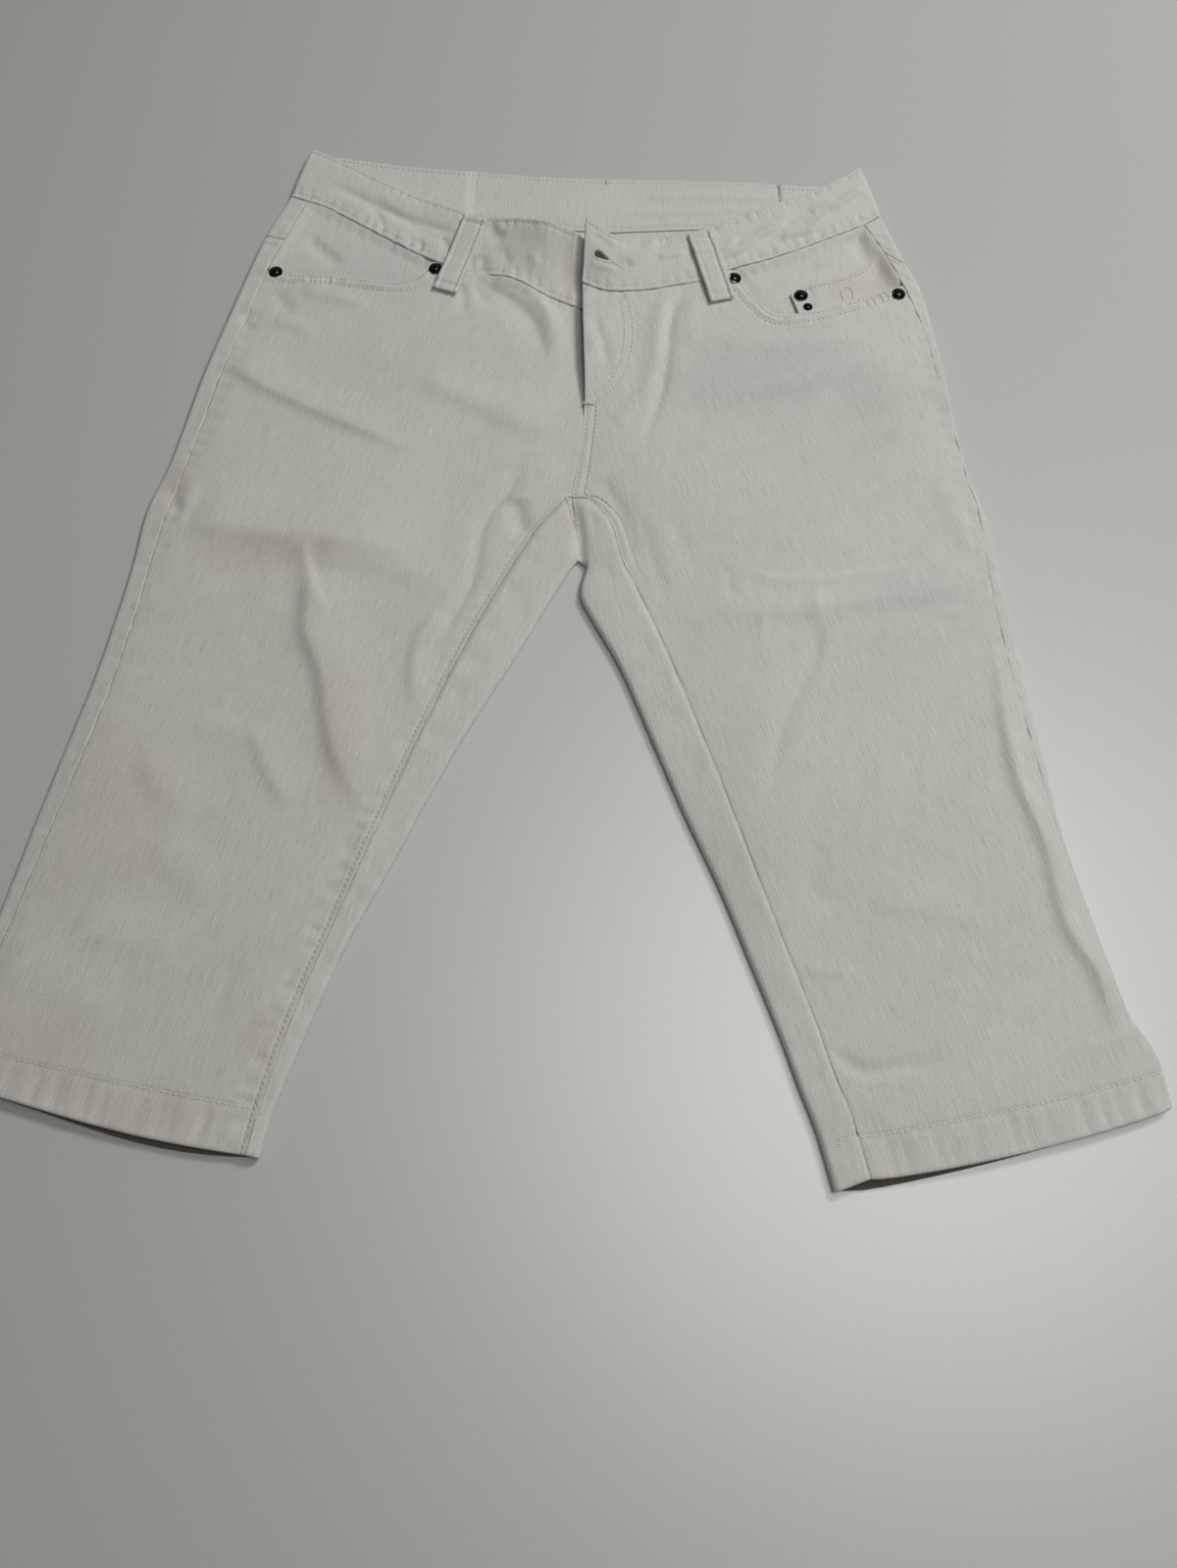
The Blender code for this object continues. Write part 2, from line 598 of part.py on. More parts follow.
def back_rows(side, start, end):
    """Rows of a back piece: side seam, outer fold and underside, then the inner fold to the inseam."""
    places = row_places(side, start, end)
    outer, seam = along(side, "outer", places), along(side, "side", places)
    front, back = along(side, "front", places), along(side, "back", places)
    fine = np.linspace(0, len(side.sections) - 1, 40 * len(side.sections))
    outward = np.column_stack([
        np.interp(places, fine, c) for c in headings(along(side, "outer", fine), side.hand).T
    ])
    legs = np.linspace(FORK_END_ROW, len(side.sections) - 1, 40 * len(side.sections))
    turned = headings(along(side, "back", legs), -side.hand)
    inward = np.column_stack([np.interp(places, legs, c) for c in turned.T])
    in_leg = np.clip((places - CROTCH_ROW) / (FORK_END_ROW - CROTCH_ROW), 0, 1)[:, None]
    inward = inward * in_leg + np.array(DOWN) * (1 - in_leg)

    def height(x, y):
        return body_height(side, x, y)

    rows, normals = [], []
    for i, place in enumerate(places):
        row, leans = wrap(outer[i], outward[i], seam[i], LEG_FOLD, height)
        aside = np.array((side.hand * SEAM_GAP / 2, 0.0))  # away from the centre back seam
        if place < CROTCH_ROW:
            under = under_row(row[-1], back[i] + aside)
            fold, fold_leans = [], []
        else:
            edge, inseam = back[i], front[i]
            if place == CROTCH_ROW:
                edge, inseam = edge + aside, inseam + aside
            fold, fold_leans = wrap(edge, unit(inward[i]), inseam, LEG_FOLD, height)
            fold, fold_leans = fold[::-1], fold_leans[::-1]
            under = under_row(row[-1], fold[0])
            fold, fold_leans = fold[1:], fold_leans[1:]
        rows.append([np.array(point) for point in row + under + fold])
        normals.append(leans + below(under) + fold_leans)
    return rows, normals


def seam_in(rows):
    """Draws the side seam's end and the inseam's end of each row in by half a seam gap."""
    for row in rows:
        row[0] += toward(row[0], row[1]) * SEAM_GAP / 2
        if len(row) > STRIP_COLUMNS + FOLD_COLUMNS + UNDER_COLUMNS + 1:
            row[-1] += toward(row[-1], row[-2]) * SEAM_GAP / 2


def toward(start, end):
    """A step of length 1 from one place to another, in plan."""
    run = np.array([end[0] - start[0], end[1] - start[1], 0.0])
    return run / max(np.linalg.norm(run), 1e-6)


def shift_row(rows, index, other):
    """Draws one end row in towards its neighbour by half a seam gap."""
    for point, near in zip(rows[index], rows[other]):
        point += toward(point, near) * SEAM_GAP / 2


def back_panel(side):
    rows, normals = back_rows(side, YOKE_ROW, len(side.sections))
    seam_in(rows)
    shift_row(rows, 0, 1)
    sheet(f"leg_back_{side.name}", rows, normals, side is RIGHT, hem_walls(rows))


def yoke(side):
    rows, normals = back_rows(side, 0, YOKE_ROW)
    seam_in(rows)
    shift_row(rows, 0, 1)
    shift_row(rows, -1, -2)
    sheet(f"yoke_{side.name}", rows, normals, side is RIGHT)


def waistband_front(side):
    """The band from the centre front round the side fold to the seam under the back."""
    seam_at = np.concatenate([
        np.linspace(len(side.waist) - 1, POCKET_END, WAIST_COLUMNS + 1),
        np.linspace(POCKET_END, 0, FACING_COLUMNS + 1)[1:],
    ])
    lower, upper = waist_line(side, "seam", seam_at), waist_line(side, "top", seam_at)
    if side is RIGHT:
        lower = np.vstack([[row.seam for row in TONGUE], lower])
        upper = np.vstack([[row.top for row in TONGUE], upper])
    shares = np.linspace(0, 1, BAND_ROWS + 1)
    edge_foot, edge_top = side.sections[0].outer, BAND_SIDE_TOP[side.name]
    run = np.subtract(edge_top, edge_foot)
    outward = np.array([-run[1], run[0]]) / np.linalg.norm(run) * -side.hand
    seam_x = BACK_BAND_SEAM_X[0 if side is RIGHT else 1]
    foot_end = band_foot(side, seam_x)

    def height(x, y):
        return band_height(side, x, y)

    under_foot = np.array(under_row(edge_foot - outward * BAND_FOLD, foot_end))
    under_top = np.column_stack([side.under_top, np.zeros(len(side.under_top))])
    rows, normals = [], []
    for share in shares:
        plan = lower * (1 - share) + upper * share
        top = [(x, y, float(height(x, y))) for x, y in plan[:-1]]
        edge = np.array(edge_foot) * (1 - share) + np.array(edge_top) * share
        fold, fold_leans = wrap(edge, outward, plan[-1], BAND_FOLD, height)
        under = list(under_foot * (1 - share) + under_top * share)
        rows.append([np.array(point, float) for point in top + fold + under])
        normals.append([*upright(top), *fold_leans, *below(under)])
    shift_row(rows, 0, 1)
    for row in rows:
        row[-1] += toward(row[-1], row[-2]) * SEAM_GAP / 2
    return sheet(f"waistband_front_{side.name}", rows, normals, side is LEFT, BAND)


def band_foot(side, x):
    """Where the waistband's lower edge passes x under the garment, on the line of the yoke's top."""
    first = side.sections[0]
    start = np.array(first.outer, float) - (side.hand * LEG_FOLD, 0)
    end = np.array(first.back, float)
    return start + (end - start) * (x - start[0]) / (end[0] - start[0])


def waistband_back():
    left, right = BACK_BAND_SEAM_X
    foot = [band_foot(RIGHT, left), RIGHT.sections[0].back, band_foot(LEFT, right)]
    foot_x = np.interp(np.linspace(0, 2, 9), (0, 1, 2), [p[0] for p in foot])
    foot_y = np.interp(foot_x, [p[0] for p in foot], [p[1] for p in foot])
    top = smooth(BACK_BAND_TOP, np.linspace(0, len(BACK_BAND_TOP) - 1, 9))
    shares = np.linspace(0, 1, BAND_ROWS + 1)[:, None, None]
    plan = np.column_stack([foot_x, foot_y])[None] * (1 - shares) + top[None] * shares
    plan = draw_in(plan, SEAM_GAP / 2, SEAM_GAP / 2, SEAM_GAP / 2)
    rows = raise_plan(plan, lambda x, y: np.zeros_like(x))
    sheet("waistband_back", rows, -upright(rows), False, BAND)


def facing_foot(side, columns):
    """The pocket opening's line, moved down by the lap except at the side seam."""
    line = smooth(side.scoop, np.linspace(0, len(side.scoop) - 1, columns + 1))
    lap = ramp(np.arange(columns + 1), 0, 1.5) * SCOOP_LAP
    foot = line + np.column_stack([np.zeros_like(lap), -lap])
    foot[-1, 0] -= side.hand * SCOOP_LAP / 2
    return foot


def pocket_facing(side, layers):
    """The cloth seen above the pocket opening. It lies `layers` layers under the front panel."""
    columns = 2 * FACING_COLUMNS
    top = waist_line(side, "seam", np.linspace(0, POCKET_END, columns + 1))
    foot = facing_foot(side, columns)
    left = along(side, "side", row_places(side, 0, POCKET_ROW))
    right = np.linspace(top[-1], foot[-1], len(left))
    plan = draw_in(coons(top, foot, left, right), SEAM_GAP / 2, 0, SEAM_GAP / 2)
    drop = layers * (CLOTH + LAYER_GAP)
    rows = raise_plan(plan, lambda x, y: top_height(side, x, y) - drop)
    sheet(f"pocket_facing_{side.name}", rows, top_normals(side, plan), side is LEFT)


def coin_pocket():
    columns = 6
    top = smooth(COIN_TOP, np.linspace(0, len(COIN_TOP) - 1, columns + 1))
    left = np.linspace(COIN_TOP[0], COIN_LEFT_FOOT, 4)
    right = np.linspace(COIN_TOP[-1], COIN_RIGHT_FOOT, 4)
    foot = np.linspace(COIN_LEFT_FOOT, COIN_RIGHT_FOOT, columns + 1)
    drop = CLOTH + LAYER_GAP
    rows = raise_plan(coons(top, foot, left, right), lambda x, y: top_height(LEFT, x, y) - drop)
    sheet("coin_pocket", rows, upright(rows), False)


def centre_line(side, y):
    """x of the centre front line at these heights up the garment."""
    line = along(side, "front", np.linspace(0, CROTCH_ROW, 30))[::-1]
    return np.interp(y, line[:, 1], line[:, 0])


def fly_facing():
    """The cloth behind the left front's edge, as far as the curved stitching."""
    y = np.linspace(FLY_TOP_Y, FLY_END_Y, 9)
    curve = smooth(J_STITCH, np.linspace(0, len(J_STITCH) - 1, 30))[::-1]
    outer = np.interp(y, curve[:, 1], curve[:, 0])
    inner = centre_line(LEFT, y) + SEAM_GAP
    y_outer = np.minimum(y, J_STITCH[0][1] - 2)
    share = np.linspace(0, 1, 4)[None, :, None]
    plan = np.dstack([inner, y]).reshape(-1, 1, 2) * (1 - share)
    plan = plan + np.dstack([outer, y_outer]).reshape(-1, 1, 2) * share
    drop = CLOTH + 2 * LAYER_GAP
    rows = raise_plan(plan, lambda x, y: top_height(LEFT, x, y) - drop)
    sheet("fly_facing", rows, upright(rows), False)


def under_flap(name, x_ends, y_ends, lift, wall, surface=None):
    """A strip under the fly, lying on or level with the right front."""
    y = np.linspace(y_ends[1], y_ends[0], 8)
    inner = np.maximum(centre_line(RIGHT, y) + SEAM_GAP, x_ends[0])
    share = np.linspace(0, 1, 4)[None, :, None]
    plan = np.dstack([inner, y]).reshape(-1, 1, 2) * (1 - share)
    plan = plan + np.dstack([np.full_like(y, x_ends[1]), y]).reshape(-1, 1, 2) * share
    rows = raise_plan(plan, lambda x, y: body_height(RIGHT, x, y) + lift)
    sheet(name, rows, upright(rows), False, wall, surface)


def belt_loop(name, side, top, foot):
    top, foot = np.array(top, float), np.array(foot, float)
    run = (foot - top) / np.linalg.norm(foot - top)
    across = np.array([-run[1], run[0]]) * LOOP_WIDTH / 2
    shares = np.linspace(0, 1, LOOP_ROWS)[:, None]
    middle = top * (1 - shares) + foot * shares
    plan = np.stack([middle - across, middle, middle + across], axis=1)
    rise = LAYER_GAP + LOOP

    def height(x, y):
        return band_height(side, x, y) + rise

    rows = raise_plan(plan, height)
    rows[:, :, 2] = rows[:, :, 2].max(axis=1, keepdims=True)
    rows[:, :, 2] += 0.5 * np.sin(math.pi * np.linspace(0, 1, LOOP_ROWS))[:, None]
    sheet(name, rows, upright(rows), False, LOOP)


def turned(name, profile, surface):
    """A round piece from its profile of (radius, height) pairs, bottom to top, both ends on the axis."""
    mesh = bmesh.new()
    points = [mesh.verts.new((radius * METRE, 0, height * METRE)) for radius, height in profile]
    edges = [mesh.edges.new(pair) for pair in zip(points, points[1:])]
    bmesh.ops.spin(
        mesh, geom=points + edges, axis=(0, 0, 1), cent=(0, 0, 0), angle=math.tau,
        steps=TURNED_STEPS, use_merge=True,
    )
    bmesh.ops.remove_doubles(mesh, verts=mesh.verts, dist=1e-6)
    bmesh.ops.recalc_face_normals(mesh, faces=mesh.faces)
    return finish(name, mesh, surface)


def lay_on(piece, height, place, lift):
    """Sets a piece on a surface given as height(x, y), square to it."""
    x, y = place
    reach = 3.0
    slope_x = (height(x + reach, y) - height(x - reach, y)) / (2 * reach)
    slope_y = (height(x, y + reach) - height(x, y - reach)) / (2 * reach)
    piece.rotation_euler = (math.atan(float(slope_y)), -math.atan(float(slope_x)), 0)
    piece.location = np.array([x, y, float(height(x, y)) + lift]) * METRE


def rivet(name, side, place, share):
    radius, height = RIVET_RADIUS * share, RIVET_HEIGHT * share
    profile = (
        (0, 0), (radius, 0), (radius, 0.4 * height), (0.82 * radius, 0.62 * height),
        (0.5 * radius, 0.88 * height), (0, height),
    )
    piece = turned(name, profile, material("dark metal", GUNMETAL, 0.35, 1.0))
    layers = 1 if name in COIN_RIVETS else 0

    def ground(x, y):
        return top_height(side, x, y) - layers * (CLOTH + LAYER_GAP)

    lay_on(piece, ground, place, 2.5 * LAYER_GAP if name in COIN_RIVETS else 1.5 * LAYER_GAP)


def button():
    profile = (
        (0, 0), (BUTTON_RADIUS, 0), (BUTTON_RADIUS, 0.7 * BUTTON_HEIGHT),
        (0.9 * BUTTON_RADIUS, BUTTON_HEIGHT), (0, BUTTON_HEIGHT),
    )
    piece = turned("waist_button", profile, material("dark metal", GUNMETAL, 0.35, 1.0))
    lay_on(piece, lambda x, y: band_height(RIGHT, x, y), BUTTON_PLACE, 2 * LAYER_GAP)


def cut_buttonhole(band):
    length, width = BUTTONHOLE
    mesh = bmesh.new()
    bmesh.ops.create_cube(mesh, size=1)
    bmesh.ops.scale(mesh, verts=mesh.verts, vec=(length * METRE, width * METRE, 12 * METRE))
    cutter = finish("buttonhole_cutter", mesh, twill())
    cutter.hide_render = True
    cutter.display_type = "WIRE"
    cutter.location = np.array([*BUTTONHOLE_PLACE, band_height(LEFT, *BUTTONHOLE_PLACE)]) * METRE
    cutter.rotation_euler = (0, 0, math.radians(-14))
    cut = band.modifiers.new("buttonhole", "BOOLEAN")
    cut.object = cutter
    cut.solver = "EXACT"


def clear_scene():
    for item in list(bpy.data.objects):
        bpy.data.objects.remove(item, do_unlink=True)


def main():
    clear_scene()
    for side in (RIGHT, LEFT):
        back_panel(side)
        yoke(side)
        front_panel(side)
    waistband_back()
    waistband_front(RIGHT)
    cut_buttonhole(waistband_front(LEFT))
    pocket_facing(RIGHT, 1)
    pocket_facing(LEFT, 2)
    coin_pocket()
    fly_facing()
    under_flap("fly_shield", (0, SHIELD_EDGE_X), (FLY_END_Y, SHIELD_TOP_Y), 0, CLOTH)
    zip_tape = material("zip tape", PALE_LINING, 0.8)
    under_flap("zip", ZIP_X, ZIP_Y, LAYER_GAP + ZIP_HEIGHT, ZIP_HEIGHT, zip_tape)
    for loop in LOOPS:
        belt_loop(*loop)
    for row in RIVETS:
        rivet(*row)
    button()
    for piece in bpy.data.objects:
        piece.location -= Vector(MIDDLE) * METRE


main()
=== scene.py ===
"""Capri pants laid on their back, with the waist undone: the cloth, thread and metal on the solids.

Lengths are in millimetres until a mesh is made, and places are counted from a point near the middle
of the garment. +Y points to the waist and +Z up, and the wearer's left is at +X.
"""

import math
from collections import namedtuple
from functools import partial

import bmesh
import bpy
import numpy as np
from bpy.props import FloatProperty, FloatVectorProperty, PointerProperty
from mathutils import Matrix, Vector
from mathutils.kdtree import KDTree


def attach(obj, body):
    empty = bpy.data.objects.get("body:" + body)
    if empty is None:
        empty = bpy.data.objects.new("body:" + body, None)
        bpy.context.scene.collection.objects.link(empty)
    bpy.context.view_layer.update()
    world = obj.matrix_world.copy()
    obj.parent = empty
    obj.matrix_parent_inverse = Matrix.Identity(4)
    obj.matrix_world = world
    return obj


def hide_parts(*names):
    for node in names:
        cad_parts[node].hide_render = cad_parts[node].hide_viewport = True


bl_info = {
    "name": "Capri pants",
    "version": (1, 0, 0),
    "blender": (4, 5, 0),
    "location": "3D View > Sidebar > Capri pants",
    "description": "Cloth, thread and metal of a pair of capri pants laid on their back",
    "category": "Object",
}

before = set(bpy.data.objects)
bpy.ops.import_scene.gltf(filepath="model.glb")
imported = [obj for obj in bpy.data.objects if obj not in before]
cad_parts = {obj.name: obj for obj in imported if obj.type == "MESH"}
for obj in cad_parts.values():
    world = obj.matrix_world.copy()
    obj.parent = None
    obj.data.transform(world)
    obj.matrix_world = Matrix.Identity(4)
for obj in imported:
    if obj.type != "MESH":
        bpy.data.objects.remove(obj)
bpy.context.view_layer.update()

METRE = 0.001
MIDDLE = (1.9, -4.2, 0.0)  # the middle of the box's foot, which is the frame's origin

# The walls and gaps of the solids
CLOTH = 1.2
TURN_UP = 1.9
BAND = 2.4
LOOP = 1.6
SEAM_GAP = 0.3
LAYER_GAP = 0.4
BAND_RAISE = 0.9
LEG_FOLD = 3.0
BAND_FOLD = 3.6
PUFF_REACH = 14.0
BAND_HEIGHT = 44.0
HEM_TURN = 22.0

# Rows of the leg tables, counted from the waist
YOKE_ROW = 1
POCKET_ROW = 2
SEAT_ROW = 4
CROTCH_ROW = 6
FORK_END_ROW = 11

DOWN = (0.0, -1.0)  # from the waist to the hems, in plan


def rows_of(kind, *rows):
    """A table whose rows have this kind's columns."""
    return tuple(kind(*row) for row in rows)


# ---------------------------------------------------------------------------------------------
# The cut: the same sections, edges and folds as the solids

# A section of a leg: the outer fold, the side seam on top, the inner end of the front panel (centre
# front, then inseam) and the inner end of the back panel (centre back, then the inner fold).
Section = namedtuple("Section", "name outer side front back")

RIGHT_SECTIONS = rows_of(
    Section,
    ("waist", (-190, 308), (-177, 303), (18.3, 210), (32, 279)),
    ("yoke seam", (-204, 272), (-190, 268), (19.3, 190), (31, 232)),
    ("pocket", (-212.5, 241), (-199.5, 240), (20.2, 165), (29, 195)),
    ("hip", (-224, 195), (-210.5, 194), (20.9, 133), (26, 150)),
    ("seat", (-235, 152), (-222, 152), (19.3, 106), (23.5, 105)),
    ("low seat", (-242, 116), (-229.5, 116), (16.3, 80), (21.5, 60)),
    ("crotch", (-247, 90), (-235, 90), (12.5, 56.5), (19.2, 10.5)),
    ("fork 1", (-249, 82), (-236.5, 82), (7, 53), (17.8, 11.6)),
    ("fork 2", (-251.5, 73), (-238.3, 73), (0, 45), (16.3, 11.5)),
    ("fork 3", (-256, 59), (-241.5, 59), (-8.5, 34.5), (14.4, 8.6)),
    ("fork 4", (-259.5, 42), (-245.2, 42), (-17, 20), (11, 3)),
    ("fork end", (-262, 12), (-250, 12), (-33, -10), (-4, -24)),
    ("thigh", (-267, -24), (-254.5, -24), (-50.5, -46), (-23.5, -60)),
    ("above knee", (-274.5, -68), (-261.5, -68), (-69, -89), (-46, -100)),
    ("knee", (-284.3, -112), (-271, -112), (-86, -133), (-67.5, -142)),
    ("below knee", (-294, -156), (-282.5, -156), (-102.5, -178), (-87.8, -185.5)),
    ("calf", (-303, -200), (-293.3, -200), (-120, -225), (-109.5, -230)),
    ("low calf", (-311.5, -240), (-303, -241), (-135, -267), (-125.5, -271.5)),
    ("hem stitching", (-321.5, -281), (-313.5, -282), (-148, -314), (-140.8, -316)),
    ("hem", (-327, -303), (-320, -304.5), (-154, -342.5), (-147.5, -344)),
)
LEFT_SECTIONS = rows_of(
    Section,
    ("waist", (231.5, 288.5), (217.5, 280), (19.3, 226), (32, 279)),
    ("yoke seam", (244.5, 247), (229, 256.5), (19.6, 200), (31, 232)),
    ("pocket", (252.5, 224), (240, 226.5), (20.2, 172), (29, 195)),
    ("hip", (257, 193), (249.3, 193), (20.9, 133), (26, 150)),
    ("seat", (262, 152), (255.8, 152), (19.3, 106), (23.5, 105)),
    ("low seat", (264.5, 114), (261, 114), (16.3, 80), (21.5, 60)),
    ("crotch", (267.3, 88), (265, 88), (12.5, 56.5), (19.2, 10.5)),
    ("fork 1", (268.3, 79), (265.9, 79), (21.5, 55.3), (20.9, 9.3)),
    ("fork 2", (270, 68), (267.2, 68), (28.5, 50), (22, 8)),
    ("fork 3", (273.2, 57), (269.5, 57), (33.5, 44), (21.8, 4.5)),
    ("fork 4", (276, 44), (271.2, 44), (39, 34), (20.2, -1)),
    ("fork end", (278.4, 26), (272, 26), (44.5, 10.5), (18.8, -8)),
    ("thigh", (280, 0), (272.8, 0), (51.5, -5), (20.8, -20)),
    ("above knee", (283.4, -38), (275.1, -38), (70, -50), (42.6, -62.5)),
    ("knee", (286.4, -80), (279, -80), (87, -97), (60.7, -109)),
    ("below knee", (290.5, -124), (285.7, -124), (103, -144), (78.4, -155)),
    ("calf", (294.7, -168), (291.3, -168), (118, -190), (97, -199.5)),
    ("low calf", (302.4, -208), (300.8, -208), (132, -233), (112.3, -241.5)),
    ("shin", (310.2, -246), (308.9, -246), (145.5, -273.5), (126.5, -281.5)),
    ("above hem", (317, -272), (315.8, -272.5), (153.5, -300.5), (135, -308.5)),
    ("hem stitching", (327.2, -291), (326.1, -291.4), (161.5, -323.5), (142.8, -331.5)),
    ("hem", (330.8, -317), (329.8, -318.8), (168.5, -354), (149.8, -360.5)),
)

# The waistband on top, from the side seam to the centre: its lower edge and its upper one.
Waist = namedtuple("Waist", "name seam top")
RIGHT_WAIST = rows_of(
    Waist,
    ("side seam", (-177, 303), (-167, 347)),
    ("side", (-162, 297), (-148, 336)),
    ("hip", (-151, 290), (-133, 327)),
    ("mid pocket", (-120, 270), (-108, 312)),
    ("pocket end", (-86, 249.5), (-76, 296)),
    ("belt loop", (-61, 240), (-52, 283)),
    ("front", (-30, 232), (-26, 276)),
    ("fly", (-5, 219), (-1, 268)),
    ("centre", (18.3, 210), (21, 261)),
)
LEFT_WAIST = rows_of(
    Waist,
    ("side seam", (217.5, 280), (207, 325)),
    ("side", (195, 269), (183, 311)),
    ("hip", (171, 258), (158, 300)),
    ("mid pocket", (146, 248), (134, 290)),
    ("pocket end", (123, 240.5), (112, 278)),
    ("belt loop", (102, 230.5), (96, 273.5)),
    ("front", (84, 226.3), (80, 270.5)),
    ("fly", (61, 221.5), (61, 264.5)),
    ("buttonhole", (41, 218.8), (43, 260.5)),
    ("near centre", (30, 221), (32, 264)),
    ("centre", (19.3, 226), (22, 268)),
)
POCKET_END = 4  # the row of the waist tables where the pocket opening ends
# The right end of the band runs on under the left one.
TONGUE = rows_of(
    Waist,
    ("tongue end", (50, 206), (51, 250)),
    ("under the buttonhole", (34, 208), (35, 255)),
)

# The waistband under the garment: its upper edge from the side fold to the seam with the back one.
RIGHT_UNDER_TOP = ((-160, 350.5), (-136, 345.5), (-100, 340), (-58, 336))
LEFT_UNDER_TOP = ((206, 325.5), (194, 322), (178, 322), (160, 323.5))
BACK_BAND_TOP = ((-58, 336), (-12, 331.5), (37, 329), (84, 328), (130, 326), (160, 323.5))
BACK_BAND_SEAM_X = (-58.0, 160.0)
BAND_SIDE_TOP = {"right": (-179, 352), "left": (221, 334)}

# The pocket openings, from the side seam to the waist seam.
RIGHT_SCOOP = (
    (-199.5, 240), (-180, 238), (-146, 235), (-119, 231), (-104, 231), (-95, 236), (-89, 243.5),
    (-86, 249.5),
)
LEFT_SCOOP = (
    (240, 226.5), (229, 223), (212, 216), (186, 207), (165, 202), (155, 201), (147, 204),
    (139, 213), (130, 228), (123, 240.5),
)
SCOOP_LAP = 12.0
# Where a pocket's edge is drawn up, as distances from its side end
LADDERS = {"right": (22, 52), "left": (9, 32)}

COIN_TOP = ((162, 219.5), (174, 227.5), (196, 234), (210, 240), (222, 249))
COIN_LEFT_FOOT = (169.5, 193)
COIN_RIGHT_FOOT = (231, 214)
COIN_TACK = ((198, 214), (197.5, 222), (201.5, 226), (205, 222), (205, 214))

J_STITCH = ((47, 219), (52, 205), (53.5, 185), (51, 163), (45, 146), (34, 132), (23, 126))
FLY_TOP_Y = 224.0
FLY_END_Y = 131.0
SHIELD_EDGE_X = 45.0
SHIELD_TOP_Y = 203.0
SHIELD_LAP = 5.0  # how far the shield's top turns up under the band
ZIP_X = (24.5, 33.0)
ZIP_Y = (143.0, 199.0)
ZIP_PITCH, ZIP_TOOTH = 2.0, (2.6, 1.1, 1.5)

# How the top layer stands over the table: at its edge folds, and how much more inside them.
Stand = namedtuple("Stand", "y fold puff")
STANDS = rows_of(
    Stand,
    (-345, 6.0, 1.0),
    (-250, 5.4, 1.3),
    (-50, 5.2, 1.6),
    (60, 5.8, 1.6),
    (150, 6.5, 1.0),
    (230, 6.9, 0.4),
    (360, 6.9, 0.3),
)
LEFT_HIP_RISE = 0.9
LEFT_FLAP_RISE = 2.6
RIGHT_FLAP_DROP = 2.3

# The undone waist gapes at the centre front: the line the band's ends rise from, and how far their
# upper edges rise above it.
Gape = namedtuple("Gape", "x y rise")
GAPES = rows_of(
    Gape,
    (-95, 254, 0),
    (-61, 243, 3),
    (-30, 232, 9),
    (-5, 221, 14.5),
    (14, 217, 17),
    (22, 224, 15),
    (32, 222, 11.5),
    (43, 220, 6.5),
    (60, 222, 1.5),
    (76, 226, 0),
)

